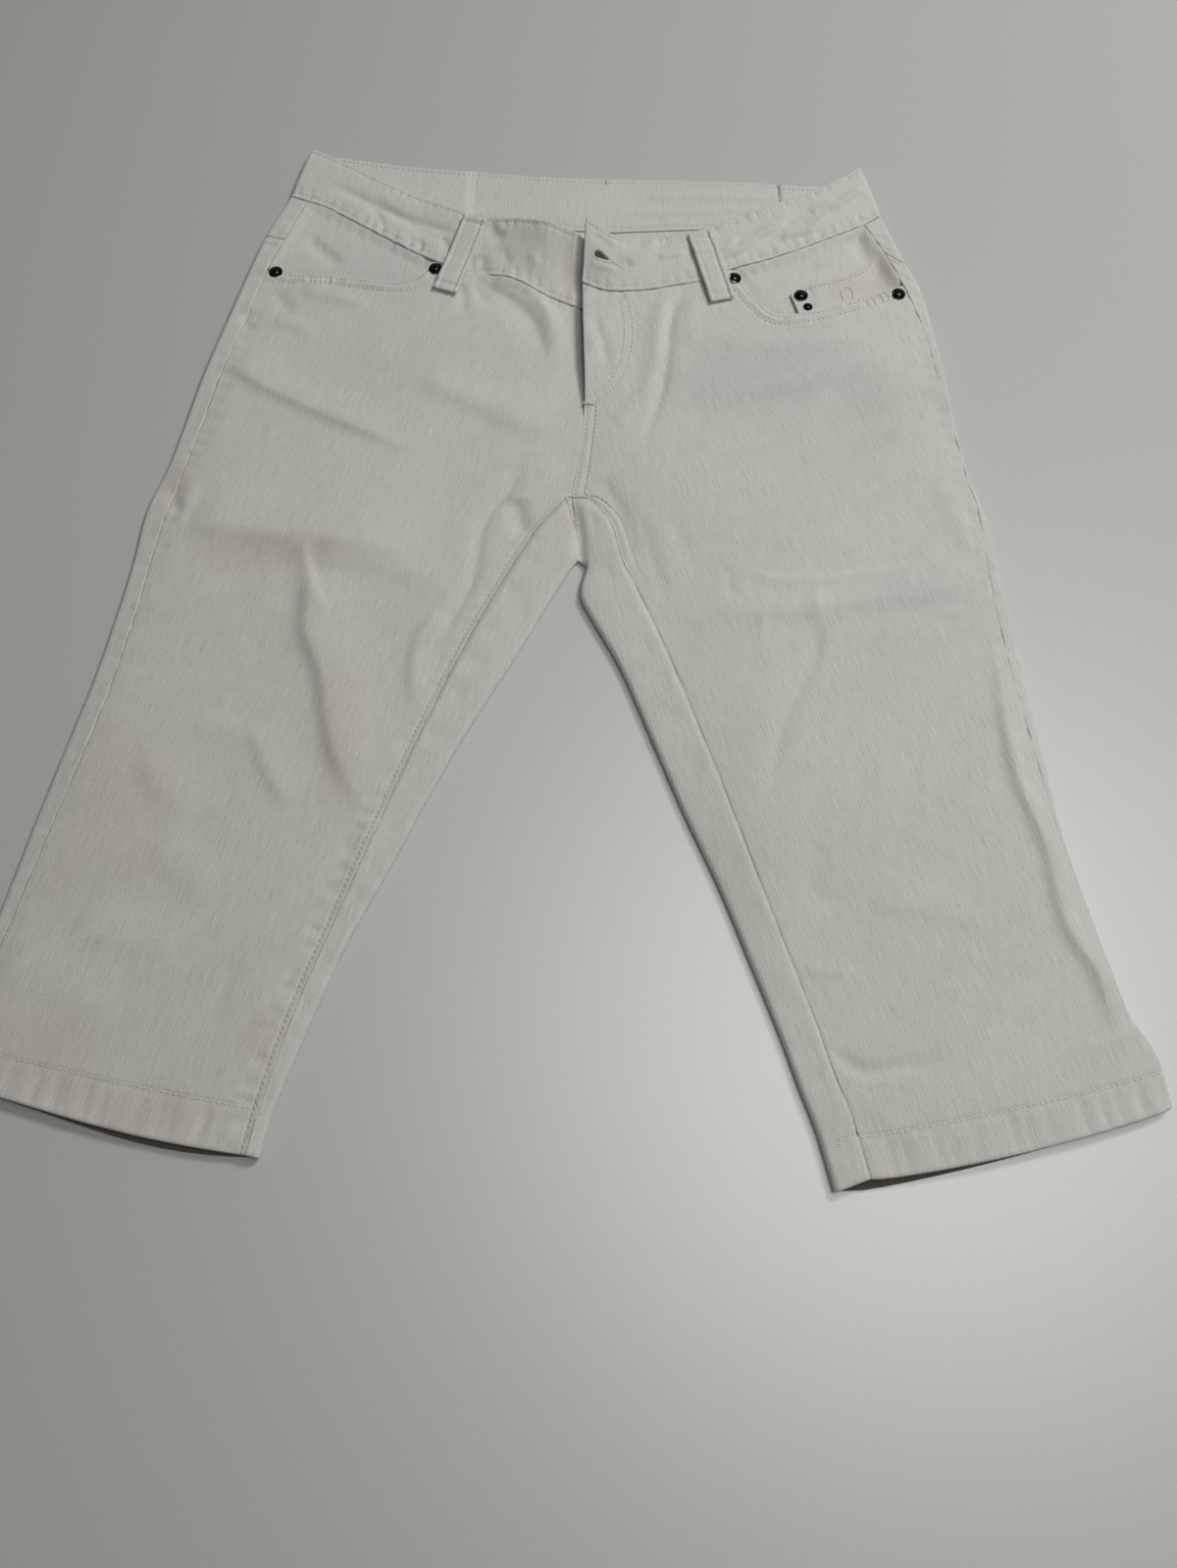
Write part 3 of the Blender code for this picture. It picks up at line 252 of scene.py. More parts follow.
# A fold of the top layer: its rise (below nothing for a trough), its reach on the left and on the
# right of its line, how keen its bottom or crest is (1 is soft), and the line's points.
Crease = namedtuple("Crease", "name rise left right keen points")
CROTCH_VALLEY = Crease(
    "crotch valley", -3.8, 3.6, 3.6, 1, ((13, 53), (17.5, 32), (19.2, 10), (20, 0))
)
RIGHT_CREASES = rows_of(
    Crease,
    CROTCH_VALLEY,
    ("hip drag", 2.6, 16, 4, 0.9, ((-216, 163), (-197, 145), (-165, 127), (-134, 112), (-84, 88))),
    ("seat drag", 2.0, 14, 8, 1, ((-90, 150), (-56, 132), (-21, 114), (7, 106))),
    ("crotch crest", 1.1, 10, 5, 0.8, ((6, 92), (-23, 87), (-56, 75), (-93, 58), (-143, 28))),
    ("thigh ridge", 4.0, 30, 10, 0.75, (
        (-229, 33), (-204, 33), (-173, 28), (-140, 25), (-107, 20), (-72, 15))),
    ("thigh ridge foot", 1.5, 14, 8, 1, ((-146, 13), (-100, 5), (-60, -9))),
    ("short ridge", 1.7, 2.6, 7, 0.9, ((-154, 24), (-152, 9), (-145, -10), (-136, -29))),
    ("knee step", 4.0, 24, 6.5, 0.9, (
        (-149, 2), (-148, -16), (-147, -39), (-135, -68), (-129, -97), (-124, -116),
        (-113, -139), (-99, -160))),
    ("knee tail", 1.4, 8, 5, 0.9, ((-101, -158), (-107, -182), (-114, -200))),
    ("outer knee", 1.6, 12, 4.5, 0.9, ((-173, -104), (-166, -124), (-156, -141), (-147, -155))),
    ("outer knee drag", 0.9, 12, 8, 1, ((-168, -112), (-190, -103), (-216, -97))),
    ("inner drag", -1.8, 3.4, 5, 0.9, (
        (-18, 84), (-27, 63), (-38, 46), (-45, 25), (-48, -3), (-61, -33), (-70, -62))),
    ("inner drag 2", 1.9, 8, 4.5, 0.9, ((-69, -24), (-80, -50), (-81, -74), (-79, -92))),
    ("crotch arc", 1.5, 4, 6, 1, ((-26, 51), (-14, 62), (-2, 73), (11, 78))),
    ("crotch dimple", -2.6, 5, 7, 1, ((-23, 54), (-20, 40), (-16, 26))),
    ("fork crease", -1.2, 5, 5, 0.9, ((-18, -19), (-20, -33), (-21, -47))),
    ("fly fold", -2.9, 4.5, 12, 0.9, ((-56, 232), (-29, 215), (-14, 196), (-7, 172), (-3, 156))),
    ("fly fold crest", 2.3, 5, 5, 0.9, ((-42, 236), (-19, 225), (-7, 209), (0, 190), (4, 170))),
    ("fly dip", -1.3, 12, 12, 1, ((13, 219), (14, 180), (17, 138))),
    ("loop fold", -1.7, 3, 5, 0.9, ((-66, 230), (-62.5, 219), (-62, 200))),
    ("loop fold 2", -1.3, 3, 5, 0.9, ((-55, 228), (-51, 221), (-46, 210))),
    ("facing dent", -2.2, 4, 7, 0.9, ((-175, 272), (-160, 257), (-146, 244))),
    ("pocket marks", 1.5, 8, 4.5, 0.9, ((-174, 223), (-148, 215), (-122, 208))),
    ("pocket dent", -1.5, 5, 6, 1, ((-192, 222), (-186, 212), (-176, 203))),
    ("pocket dent 2", 1.2, 7, 4, 1, ((-190, 197), (-172, 190), (-160, 186))),
    ("side mark", -1.2, 4, 4, 1, ((-212, 206), (-209, 195), (-206, 184))),
    ("side pinch", -1.8, 4, 5, 0.9, ((-243, 66), (-240, 52), (-233, 42))),
    ("side pinch lip", 1.0, 5, 4, 1, ((-232, 70), (-231, 56), (-236, 30))),
    ("calf dent", 1.5, 16, 9, 1, ((-262, -220), (-229, -231), (-192, -241))),
    ("calf sag", 1.0, 16, 10, 1, ((-300, -242), (-262, -256), (-226, -267))),
    ("shin fold", 1.3, 14, 8, 1, ((-236, -122), (-218, -146), (-205, -159))),
    ("shin fold 2", 1.3, 14, 9, 1, ((-224, -178), (-204, -190), (-188, -205))),
    ("near hem", -0.8, 5, 6, 1, ((-168, -240), (-176, -262), (-180, -284))),
)
LEFT_CREASES = rows_of(
    Crease,
    CROTCH_VALLEY,
    ("flap edge", 1.3, 16, 10, 1, ((21, 217), (21, 185), (21, 145))),
    ("facing wrinkle", -1.8, 2.6, 6, 0.9, ((214.5, 272), (216, 260), (219.5, 246))),
    ("facing ridge", 1.0, 7, 3.4, 1, ((181, 247), (194, 253), (211, 262))),
    ("pocket mouth", -1.2, 4, 7, 1, ((222, 250), (224, 240), (229, 230))),
    ("fly ridge", 2.0, 3, 8, 1, ((79, 219), (72, 197), (69, 165), (64, 138), (58, 116))),
    ("fly ridge groove", -2.2, 3.4, 2.6, 1, (
        (88, 219), (79, 197), (76, 165), (71, 137), (65, 116), (59, 97))),
    ("fly spur", 1.5, 4, 5, 0.9, ((40, 112), (50, 124), (60, 136), (66, 150))),
    ("fly crease", -1.6, 3, 4, 0.9, ((28, 198), (31, 182), (35, 167), (36, 150))),
    ("fly crease 2", 1.3, 3, 4, 0.9, ((24, 168), (30, 178), (36, 190))),
    ("band drag", 1.1, 6, 5, 1, ((96, 214), (92, 192), (90, 172))),
    ("hip drag", 1.4, 8, 7, 1, ((92, 131), (130, 138), (166, 145), (203, 157), (242, 171))),
    ("hip drag 2", 1.0, 9, 8, 1, ((104, 178), (152, 175), (204, 182), (241, 192))),
    ("hip drag 3", 1.0, 8, 6, 1, ((115, 84), (162, 108), (199, 123), (238, 142))),
    ("scoop drag", 0.9, 5, 4, 1, ((160, 190), (188, 195), (216, 205), (236, 214))),
    ("side drag", 1.1, 8, 6, 1, ((248, 66), (256, 38), (265, 12))),
    ("thigh ridge", 1.9, 12, 8, 0.9, (
        (96, -32), (122, -26), (155, -23), (198, -18), (226, -15), (268, -3))),
    ("thigh crest", 0.8, 3, 4, 1, ((118, 2), (134, -2), (152, -4), (190, -1), (234, 8), (266, 18))),
    ("thigh end", 0.9, 4, 4, 0.9, ((274, -14), (256, -24), (238, -30))),
    ("knee light", 0.9, 2.6, 6, 0.9, ((162, -8), (165, -19), (163, -35))),
    ("knee crease", -1.7, 4.5, 6, 0.9, (
        (163, -32), (160, -56), (149, -79), (139, -101), (131, -128), (127, -152))),
    ("small curl", -0.9, 3, 3, 1, ((112, 4), (110, -8), (118, -17))),
    ("short crease", 0.9, 2.6, 5, 0.9, ((131, -24), (130, -38), (126, -48))),
    ("thigh line", -0.8, 5, 6, 0.9, ((78, 38), (84, 18), (88, 2))),
    ("shin line", 1.0, 10, 5, 0.9, ((197, -121), (191, -143), (180, -163), (171, -182))),
    ("shin line 2", 0.8, 6, 5, 1, ((236, -128), (204, -152), (180, -174))),
    ("shin dent", -1.0, 7, 7, 1, ((155, -172), (147, -192), (156, -206), (176, -200))),
    ("calf drag", 1.0, 10, 6, 1, ((180, -208), (203, -211), (245, -219))),
    ("calf drag 2", 0.8, 5, 4, 1, ((141, -246), (156, -248), (172, -248))),
    ("outer step", 3.1, 4.6, 9, 0.9, (
        (307, -284), (304, -262), (300, -245), (290, -226), (286, -206), (283, -175), (273, -138),
        (269, -99), (270, -64), (265, -33))),
    ("crotch drag", -1.4, 4, 6, 0.9, ((31, 71), (46, 41), (58, -1))),
    ("crotch drag 2", -1.0, 4, 5, 0.9, ((56, 41), (66, 2), (72, -22))),
    ("hem drag", -1.7, 4, 4, 0.9, ((153, -290), (170, -300), (195, -297), (214, -294))),
    ("hem ridge", 0.9, 4, 4, 1, ((322, -276), (306, -283), (288, -291))),
    ("hem sag", -0.8, 7, 8, 1, ((166, -322), (172, -334), (186, -344))),
)

# Soft folds of the waistband, over its own height.
BAND_CREASES = {
    "right": rows_of(
        Crease,
        ("long fold", -2.1, 4.5, 3.4, 0.9, (
            (-69, 271), (-92, 281), (-114, 291), (-139, 306), (-168, 322))),
        ("lower fold", -0.9, 3, 4, 0.9, ((-132, 308), (-101, 281), (-78, 263))),
        ("pucker", -1.4, 2.6, 4, 0.9, ((-130, 298), (-124, 287), (-121, 277))),
        ("pucker 2", -1.2, 2.4, 4, 0.9, ((-95, 268), (-93, 256))),
        ("pucker 3", -1.5, 2.6, 4, 0.9, ((-80, 270), (-75, 260), (-73, 250))),
        ("beside the loop", -1.9, 3, 6, 0.9, ((-45, 277), (-41, 268), (-33, 264))),
        ("end pucker", -1.4, 2.6, 4, 0.9, ((-58, 252), (-56, 235))),
        ("end pucker 2", -1.7, 2.6, 4.5, 0.9, ((-50, 252), (-48, 233))),
        ("end fold", -1.2, 3, 5, 0.9, ((-36, 256), (-31, 242))),
        ("end swell", 1.2, 4, 4, 1, ((-16, 250), (-11, 238))),
        ("under the flap", -4.6, 26, 12, 1, ((14, 286), (14, 250), (13, 216))),
    ),
    "left": rows_of(
        Crease,
        ("long fold", 2.4, 6, 1.6, 0.9, (
            (118, 250), (129, 254.5), (136, 260), (144, 267.6), (153, 274), (161.5, 281),
            (171, 282.6))),
        ("middle fold", 2.3, 5, 1.6, 0.9, (
            (160, 263), (164, 269), (171, 270.5), (180.5, 274), (186.5, 281), (191.5, 285),
            (199, 287.5))),
        ("side fold", 2.4, 1.8, 5, 0.9, (
            (221, 311), (213.5, 307), (206, 300.5), (197, 293.5), (189, 288))),
        ("upper fold", 1.6, 5, 1.6, 1, ((182, 288), (187, 293.5), (194, 298), (200, 299))),
        ("loop fold", 1.8, 5, 1.6, 0.9, ((112, 254), (118.5, 257.5), (125, 263), (129, 268))),
        ("front fold", 2.4, 6, 1.9, 0.9, ((52, 239), (62.5, 252), (74, 267))),
        ("front fold 2", 1.4, 5, 1.8, 1, ((73, 248), (82, 251), (92, 254))),
        ("under the buttonhole", 1.1, 2.2, 2.6, 1, ((25, 239), (33, 236.5), (44, 234))),
        ("over the buttonhole", -1.0, 2.4, 3.4, 1, ((26, 258), (34, 255), (42, 249))),
    ),
}

FRONT_LEAN = 16  # how far the front panels' grain leans out from the garment's length

# The front hems bow out between their corners: how far, where along them from the side seam, and
# how round the bow is (1 is a sine). Then the same for the back ones, which show below them.
HEM_BOWS = {"right": (3.5, 0.6, 1), "left": (4.8, 0.5, 0.6)}
UNDER_BOWS = {"right": (6.6, 0.66, 1), "left": (5.4, 0.5, 0.5)}

# Where the underside lifts off the table, counted outwards from the middle on either side
UNDER_CREASES = rows_of(
    Crease,
    ("seat hollow", 0.9, 9, 6, 1, ((60, 150), (110, 128), (170, 118))),
    ("seat fold", 0.7, 5, 8, 1, ((230, 120), (180, 96), (120, 84))),
    ("under crotch", 0.8, 6, 5, 0.9, ((46, 52), (84, 30), (130, 12))),
    ("back of knee", 0.9, 7, 5, 0.9, ((110, -96), (170, -90), (240, -98))),
    ("back of knee 2", 0.8, 5, 6, 1, ((255, -128), (200, -122), (140, -132))),
    ("calf hollow", 0.6, 10, 7, 1, ((270, -220), (230, -200), (180, -190))),
    ("hem hollow", 0.5, 5, 5, 1, ((200, -300), (230, -285), (270, -280))),
)

Side = namedtuple("Side", "name hand sections waist scoop under_top creases")
RIGHT = Side(
    "right", -1, RIGHT_SECTIONS, RIGHT_WAIST, RIGHT_SCOOP, RIGHT_UNDER_TOP, RIGHT_CREASES
)
LEFT = Side("left", 1, LEFT_SECTIONS, LEFT_WAIST, LEFT_SCOOP, LEFT_UNDER_TOP, LEFT_CREASES)
SIDES = (RIGHT, LEFT)

# Rivets: solid, place, size as a share of the usual one, and the layers between them and the front.
RIVETS = (
    ("rivet_right_side", RIGHT, (-193, 238.5), 1.0, 0),
    ("rivet_right_front", RIGHT, (-82.5, 241.5), 1.0, 0),
    ("rivet_left_front", LEFT, (124, 232), 1.0, 0),
    ("rivet_left_side", LEFT, (236, 218.5), 1.0, 0),
    ("rivet_coin", LEFT, (169.5, 218.5), 1.0, 1),
    ("rivet_coin_lower", LEFT, (173.5, 208.8), 0.68, 1),
)

# Belt loops on the front: the middle of the upper end and of the lower end.
LOOPS = (
    ("belt_loop_right", RIGHT, (-55.5, 281.5), (-75, 220.5)),
    ("belt_loop_left", LEFT, (101, 270.5), (115, 211.5)),
)
LOOP_WIDTH = 17.5

BUTTON_PLACE = (39, 229)
BUTTON_PROFILE = ((0, 0), (8.5, 0), (8.5, 0.9), (7.8, 1.5), (6.4, 1.1), (0, 1.1))  # radius, height
CROTCH_TACK = ((9, 56.5), (23.5, 55.7), (16, 35))
BUTTONHOLE_PLACE, BUTTONHOLE_SIZE, BUTTONHOLE_TURN = (33, 244), (12, 5.4), -26

# ---------------------------------------------------------------------------------------------
# The finish's own sizes

STEP = 2.2  # between the points of a cloth mesh
BAND_STEP = 1.3  # the same on the waistband
FINE_STEP = 0.8  # the same beside edges and rows of stitches
EDGE_REACH = 2.0
EDGE_ROLL = 0.40  # how far an edge rolls down
SEAM_ROLL = 0.14  # the same at a seam, where two edges meet
OUTER_DROP, OUTER_DROP_REACH = 2.0, 16  # how much lower the right leg lies along its outer fold
ROLL_REACH = 0.9
STITCH_DIP = 0.55  # how far a row of stitches draws the cloth in
DIP_REACH = 1.0

# Rows of topstitching, as distances from the edge that they follow
SCOOP_ROWS = (2.0, 8.2)
BAND_EDGE_ROW = 2.6
BAND_FOOT_ROW = 3.6
BAND_ROWS = (BAND_FOOT_ROW, BAND_HEIGHT - BAND_EDGE_ROW)
BACK_BAND_ROWS = (3, BAND_HEIGHT - 3)
J_ROWS = (0.0, 5.5)
CENTRE_ROWS = (1.8, 7.0)
LOOP_EDGE_ROW = 3.2
INSEAM_ROW = 3.4
YOKE_ROWS = (1.8, 6.6)
WELT_MIDDLE = 5.0  # between a pocket opening's two rows, where the cloth bulges
INSEAM_RIDGE, INSEAM_RIDGE_REACH = 0.45, 1.7  # the right inseam's lap stands up a little


# ---------------------------------------------------------------------------------------------
# What a maker can change


def colour_setting(name, description, default):
    return FloatVectorProperty(
        name=name, description=description, subtype="COLOR", size=3, min=0, max=1, default=default
    )


def length_setting(name, description, low, high, default):
    return FloatProperty(
        name=name, description=description, unit="LENGTH", min=low, max=high, default=default
    )


class ClothSizes(bpy.types.PropertyGroup):
    colour: colour_setting("Colour", "Off-white of the twill", (0.68, 0.672, 0.627))
    roughness: FloatProperty(
        name="Roughness", description="Roughness of the twill", min=0, max=1, default=0.92
    )
    wale: length_setting("Wale", "Spacing of the twill's diagonal lines", 0.0002, 0.005, 0.0013)
    slub: length_setting("Slub", "Depth of the lengthwise slubs", 0, 0.001, 0.00010)
    rumple: length_setting("Rumple", "Height of the shallow, uneven rumples", 0, 0.002, 0.00035)
    # Scales the whole tint table, the painted shade under the flap among them.
    stain_and_shade: FloatProperty(
        name="Stains and shade", description="Strength of the faint tints, the painted shade under the flap among them", min=0, max=3, default=1
    )


class ThreadSizes(bpy.types.PropertyGroup):
    colour: colour_setting("Colour", "Colour of the sewing thread", (0.74, 0.73, 0.67))
    pitch: length_setting("Pitch", "From one stitch to the next", 0.001, 0.01, 0.0033)
    width: length_setting("Width", "Thickness of the thread", 0.0001, 0.002, 0.0008)


class MetalSizes(bpy.types.PropertyGroup):
    colour: colour_setting("Colour", "Black nickel of the rivets", (0.018, 0.018, 0.019))
    rivet_radius: length_setting("Rivet radius", "Radius of a rivet's cap", 0.001, 0.02, 0.0047)
    rivet_height: length_setting("Rivet height", "Height of a rivet's cap", 0.0005, 0.01, 0.0024)


class StageSizes(bpy.types.PropertyGroup):
    floor_colour: colour_setting("Floor", "Colour of the table", (0.56, 0.56, 0.54))
    key_power: FloatProperty(
        name="Key light", description="Power of the large soft light", unit="POWER",
        min=0, max=500, default=27,
    )
    fill: FloatProperty(
        name="Fill", description="Strength of the light from all round", min=0, max=3, default=0.13
    )
    tilt: FloatProperty(
        name="Camera tilt", description="The camera's lean from straight down", subtype="ANGLE",
        default=math.radians(20),
    )
    lens: FloatProperty(
        name="Lens", description="Focal length", unit="CAMERA", min=5, max=200, default=25.91
    )


# ---------------------------------------------------------------------------------------------
# Lines and heights


def ramp(value, start, end):
    """0 before start, 1 past end, and a soft step between."""
    share = np.clip((np.asarray(value, float) - start) / (end - start), 0, 1)
    return share * share * (3 - 2 * share)


def smooth(points, at):
    """Places on a smooth curve through the points. `at` counts points from the first."""
    points = np.asarray(points, float)
    at = np.asarray(at, float)
    last = len(points) - 1
    near = np.clip(np.floor(at).astype(int), 0, last - 1)
    share = (at - near)[:, None]
    start, end = points[near], points[near + 1]
    before = np.where((near > 0)[:, None], points[near - 1], 2 * start - end)
    beyond = points[np.minimum(near + 2, last)]
    after = np.where((near < last - 1)[:, None], beyond, 2 * end - start)
    pull_out, pull_in = (end - before) / 2, (after - start) / 2
    square, cube = share**2, share**3
    return (
        (2 * cube - 3 * square + 1) * start
        + (cube - 2 * square + share) * pull_out
        + (3 * square - 2 * cube) * end
        + (cube - square) * pull_in
    )


def bell(gap, width):
    """1 on a line, fading away on both sides of it over this width."""
    return np.exp(-((gap / width) ** 2))


def curve(points, density=8):
    """A fine polyline on the smooth curve through the points."""
    return smooth(points, np.linspace(0, len(points) - 1, density * (len(points) - 1) + 1))


def lengths(line):
    """The distance run at each point of a line."""
    steps = np.linalg.norm(np.diff(np.asarray(line, float), axis=0), axis=1)
    return np.concatenate([[0], np.cumsum(steps)])


def picked(line, run, at):
    """A line's places where run, which grows along it, has these values."""
    return np.column_stack([np.interp(at, run, column) for column in np.asarray(line, float).T])


def walked(line, distances):
    """Places at these distances along a polyline."""
    return picked(line, lengths(line), distances)


def beside(line, offset):
    """The plan line moved to its left by this much."""
    line = np.asarray(line, float)
    run = np.gradient(line, axis=0)
    run /= np.maximum(np.linalg.norm(run, axis=1, keepdims=True), 1e-9)
    return line + np.column_stack([-run[:, 1], run[:, 0]]) * offset


def spread(length, zones=(), ends=(True, True), step=STEP):
    """Distances from 0 to length: a step apart, but closer near the ends and the zones."""
    places = np.linspace(0, length, 2000)
    density = np.full(len(places), 1 / step)
    for centre in [*zones, *([0] if ends[0] else []), *([length] if ends[1] else [])]:
        close = ramp(-abs(places - centre), -2 * EDGE_REACH, -EDGE_REACH)
        density = np.maximum(density, 1 / step + (1 / FINE_STEP - 1 / step) * close)
    count = np.concatenate([[0], np.cumsum((density[1:] + density[:-1]) / 2 * np.diff(places))])
    total = max(2, round(count[-1]))
    return np.interp(np.linspace(0, count[-1], total + 1), count, places)


def along(side, column, at):
    """A column of the leg table as a smooth line. The inner lines turn a corner at the crotch."""
    points = [getattr(section, column) for section in side.sections]
    at = np.asarray(at, float)
    if column in ("outer", "side"):
        return smooth(points, at)
    upper = smooth(points[: CROTCH_ROW + 1], np.minimum(at, CROTCH_ROW))
    lower = smooth(points[CROTCH_ROW:], np.maximum(at - CROTCH_ROW, 0))
    return np.where((at <= CROTCH_ROW)[:, None], upper, lower)


def leg_places(side, column, start, end, zones=(), ends=(True, True)):
    """Section counts from start to end, spread over the length of a column of the leg table."""
    at = np.linspace(start, end, 1500)
    run = lengths(along(side, column, at))
    zones = [zone if zone >= 0 else run[-1] + zone for zone in zones]
    return np.interp(spread(run[-1], zones, ends), run, at)


def waist_line(side, column, at):
    return smooth([getattr(row, column) for row in side.waist], at)


def from_line(line, x, y):
    """Distance from each place to a line, positive on its left, and how far along it that is."""
    line = np.asarray(line, float)
    start, run = line[:-1], line[1:] - line[:-1]
    size = np.maximum(np.linalg.norm(run, axis=1), 1e-9)
    gone = np.concatenate([[0], np.cumsum(size)])
    x, y = np.asarray(x, float), np.asarray(y, float)
    best = np.full(x.shape, 1e9)
    turn, passed = np.zeros(x.shape), np.zeros(x.shape)
    for i in range(len(run)):
        to_x, to_y = x - start[i, 0], y - start[i, 1]
        share = np.clip((to_x * run[i, 0] + to_y * run[i, 1]) / size[i] ** 2, 0, 1)
        gap = np.hypot(to_x - share * run[i, 0], to_y - share * run[i, 1])
        near = gap < best
        best = np.where(near, gap, best)
        turn = np.where(near, run[i, 0] * to_y - run[i, 1] * to_x, turn)
        passed = np.where(near, gone[i] + share * size[i], passed)
    return best * np.where(turn < 0, -1, 1), passed


def crease_height(crease, x, y):
    """The height that one fold adds. It fades in and out over its ends."""
    x, y = np.asarray(x, float), np.asarray(y, float)
    line = curve(crease.points, 4)
    far = 3 * max(crease.left, crease.right)
    near = (
        (x > line[:, 0].min() - far) & (x < line[:, 0].max() + far)
        & (y > line[:, 1].min() - far) & (y < line[:, 1].max() + far)
    )
    height = np.zeros(x.shape)
    if not near.any():
        return height
    offset, passed = from_line(line, x[near], y[near])
    reach = np.where(offset > 0, crease.left, crease.right)
    total = lengths(line)[-1]
    ends = ramp(passed / total, -0.04, 0.14) * ramp(-passed / total, -1.04, -0.66)
    shape = np.exp(-((offset / reach) ** 2 + 0.02) ** crease.keen)
    height[near] = crease.rise * ends * shape
    return height


def edge_lines(side):
    """The outer fold and the inner fold of a leg."""
    last = len(side.sections) - 1
    outer = along(side, "outer", np.linspace(0, last, 4 * last))
    inner = along(side, "back", np.linspace(CROTCH_ROW, last, 4 * last))
    return outer, inner


def fold_distance(side, x, y):
    """How far each place is from the nearer edge fold of its leg."""
    return np.minimum(*(abs(from_line(line, x, y)[0]) for line in edge_lines(side)))


def body_height(side, x, y, gap=None, creases=True):
    """Height of the top layer's upper face, before it rounds down into an edge fold."""
    x, y = np.asarray(x, float), np.asarray(y, float)
    gap = fold_distance(side, x, y) if gap is None else gap
    levels = [stand.y for stand in STANDS]
    fold = np.interp(y, levels, [stand.fold for stand in STANDS])
    puff = np.interp(y, levels, [stand.puff for stand in STANDS])
    height = fold + puff * (1 - np.exp(-gap / PUFF_REACH))
    if side is RIGHT:
        outer = along(RIGHT, "outer", np.linspace(0, len(RIGHT.sections) - 1, 60))[::-1]
        to_fold = x - np.interp(y, outer[:, 1], outer[:, 0])
        lowered = bell(np.maximum(to_fold, 0), OUTER_DROP_REACH) * ramp(-y, -200, -120)
        height = height - OUTER_DROP * lowered
    if side is LEFT:
        height = height + LEFT_HIP_RISE * ramp(y, 120, 190)
        height = height + LEFT_FLAP_RISE * ramp(-x, -72, -34) * ramp(y, 114, 140)
    else:
        height = height - RIGHT_FLAP_DROP * ramp(x, -30, 12) * ramp(y, 114, 140)
    if creases:
        shared = np.maximum(ramp(abs(x - centre_line(LEFT, y)), 1, 12), ramp(abs(y - 90), 40, 52))
        for crease in side.creases:
            share = 1 if crease == CROTCH_VALLEY else shared
            height = height + crease_height(crease, x, y) * share
    return height


def top_height(side, x, y):
    """Height of the top layer's upper face, rounded down towards the edge folds."""
    gap = fold_distance(side, x, y)
    share = np.clip(gap / LEG_FOLD, 0, 1)
    return body_height(side, x, y, gap) * (1 + np.sqrt(1 - (1 - share) ** 2)) / 2


def gape(x, y):
    """Extra height of the waistband where the undone waist stands open."""
    at = [row.x for row in GAPES]
    up_band = (y - np.interp(x, at, [row.y for row in GAPES])) / BAND_HEIGHT
    return np.interp(x, at, [row.rise for row in GAPES]) * np.clip(up_band, 0, 1.2) ** 1.4


def band_height(side, x, y):
    x, y = np.asarray(x, float), np.asarray(y, float)
    height = body_height(side, x, y) + BAND_RAISE + gape(x, y)
    for crease in BAND_CREASES[side.name]:
        height = height + crease_height(crease, x, y)
    return height


def ripples(across, down, size, seed):
    """Smooth, uneven waves from -1 to 1 with this spacing, the same ones for each seed."""
    grid = np.random.default_rng(seed).uniform(-1, 1, (64, 64))
    a, b = np.asarray(across, float) / size + 1000.3, np.asarray(down, float) / size + 1000.7
    i, j = np.floor(a).astype(int), np.floor(b).astype(int)
    s, t = a - i, b - j
    s, t = s * s * (3 - 2 * s), t * t * (3 - 2 * t)

    def corner(di, dj):
        return grid[(i + di) % 64, (j + dj) % 64]

    near = corner(0, 0) * (1 - s) + corner(1, 0) * s
    far = corner(0, 1) * (1 - s) + corner(1, 1) * s
    return near * (1 - t) + far * t


def rumples(fabric, seed):
    """Shallow, uneven rumples, longer down the leg than across it."""
    u, v = fabric[..., 0], fabric[..., 1]
    return bpy.context.scene.capri_cloth.rumple / METRE * (
        0.60 * ripples(u, v / 1.7, 34, seed)
        + 0.28 * ripples(u + 0.3 * v, v / 1.5, 15, seed + 1)
        + 0.12 * ripples(u, v / 1.4, 7, seed + 2)
    )


# ---------------------------------------------------------------------------------------------
# Grids of points


def coons(top, foot, left, right):
    """Rows of plan points that fill four edges. top and foot run with the columns."""
    top, foot, left, right = (np.asarray(edge, float) for edge in (top, foot, left, right))
    u = (lengths(top) / lengths(top)[-1])[None, :, None]
    v = (lengths(right) / lengths(right)[-1])[:, None, None]
    across = (1 - v) * top[None] + v * foot[None]
    down = (1 - u) * left[:, None] + u * right[:, None]
    corners = (
        (1 - v) * ((1 - u) * top[0] + u * top[-1]) + v * ((1 - u) * foot[0] + u * foot[-1])
    )
    return across + down - corners


def unit(vectors):
    vectors = np.asarray(vectors, float)
    return vectors / np.maximum(np.linalg.norm(vectors, axis=-1, keepdims=True), 1e-9)


def headings(line, hand):
    """Outward headings along a line of plan points: on its left for hand 1, its right for -1."""
    run = unit(np.gradient(np.asarray(line, float), axis=0))
    return np.column_stack([-run[:, 1], run[:, 0]]) * hand


def cloth_places(points):
    """Where each point of a grid lies on its flat cut: across from the middle column, and down."""
    across = np.linalg.norm(np.diff(points, axis=1), axis=2)
    across = np.concatenate([np.zeros((len(points), 1)), np.cumsum(across, axis=1)], axis=1)
    middle = points.shape[1] // 2
    down = np.repeat(lengths(points[:, middle])[:, None], points.shape[1], 1)
    return np.dstack([across - across[:, middle : middle + 1], down])


def from_edges(fabric):
    """How far each point of a cloth grid is from its first and last columns, then rows."""
    across, down = fabric[..., 0], fabric[..., 1]
    return across - across[:, :1], across[:, -1:] - across, down, down[-1:] - down


def lips(gap, roll=EDGE_ROLL):
    """How far cloth rolls down at this distance from an edge."""
    return -roll * bell(gap, ROLL_REACH)


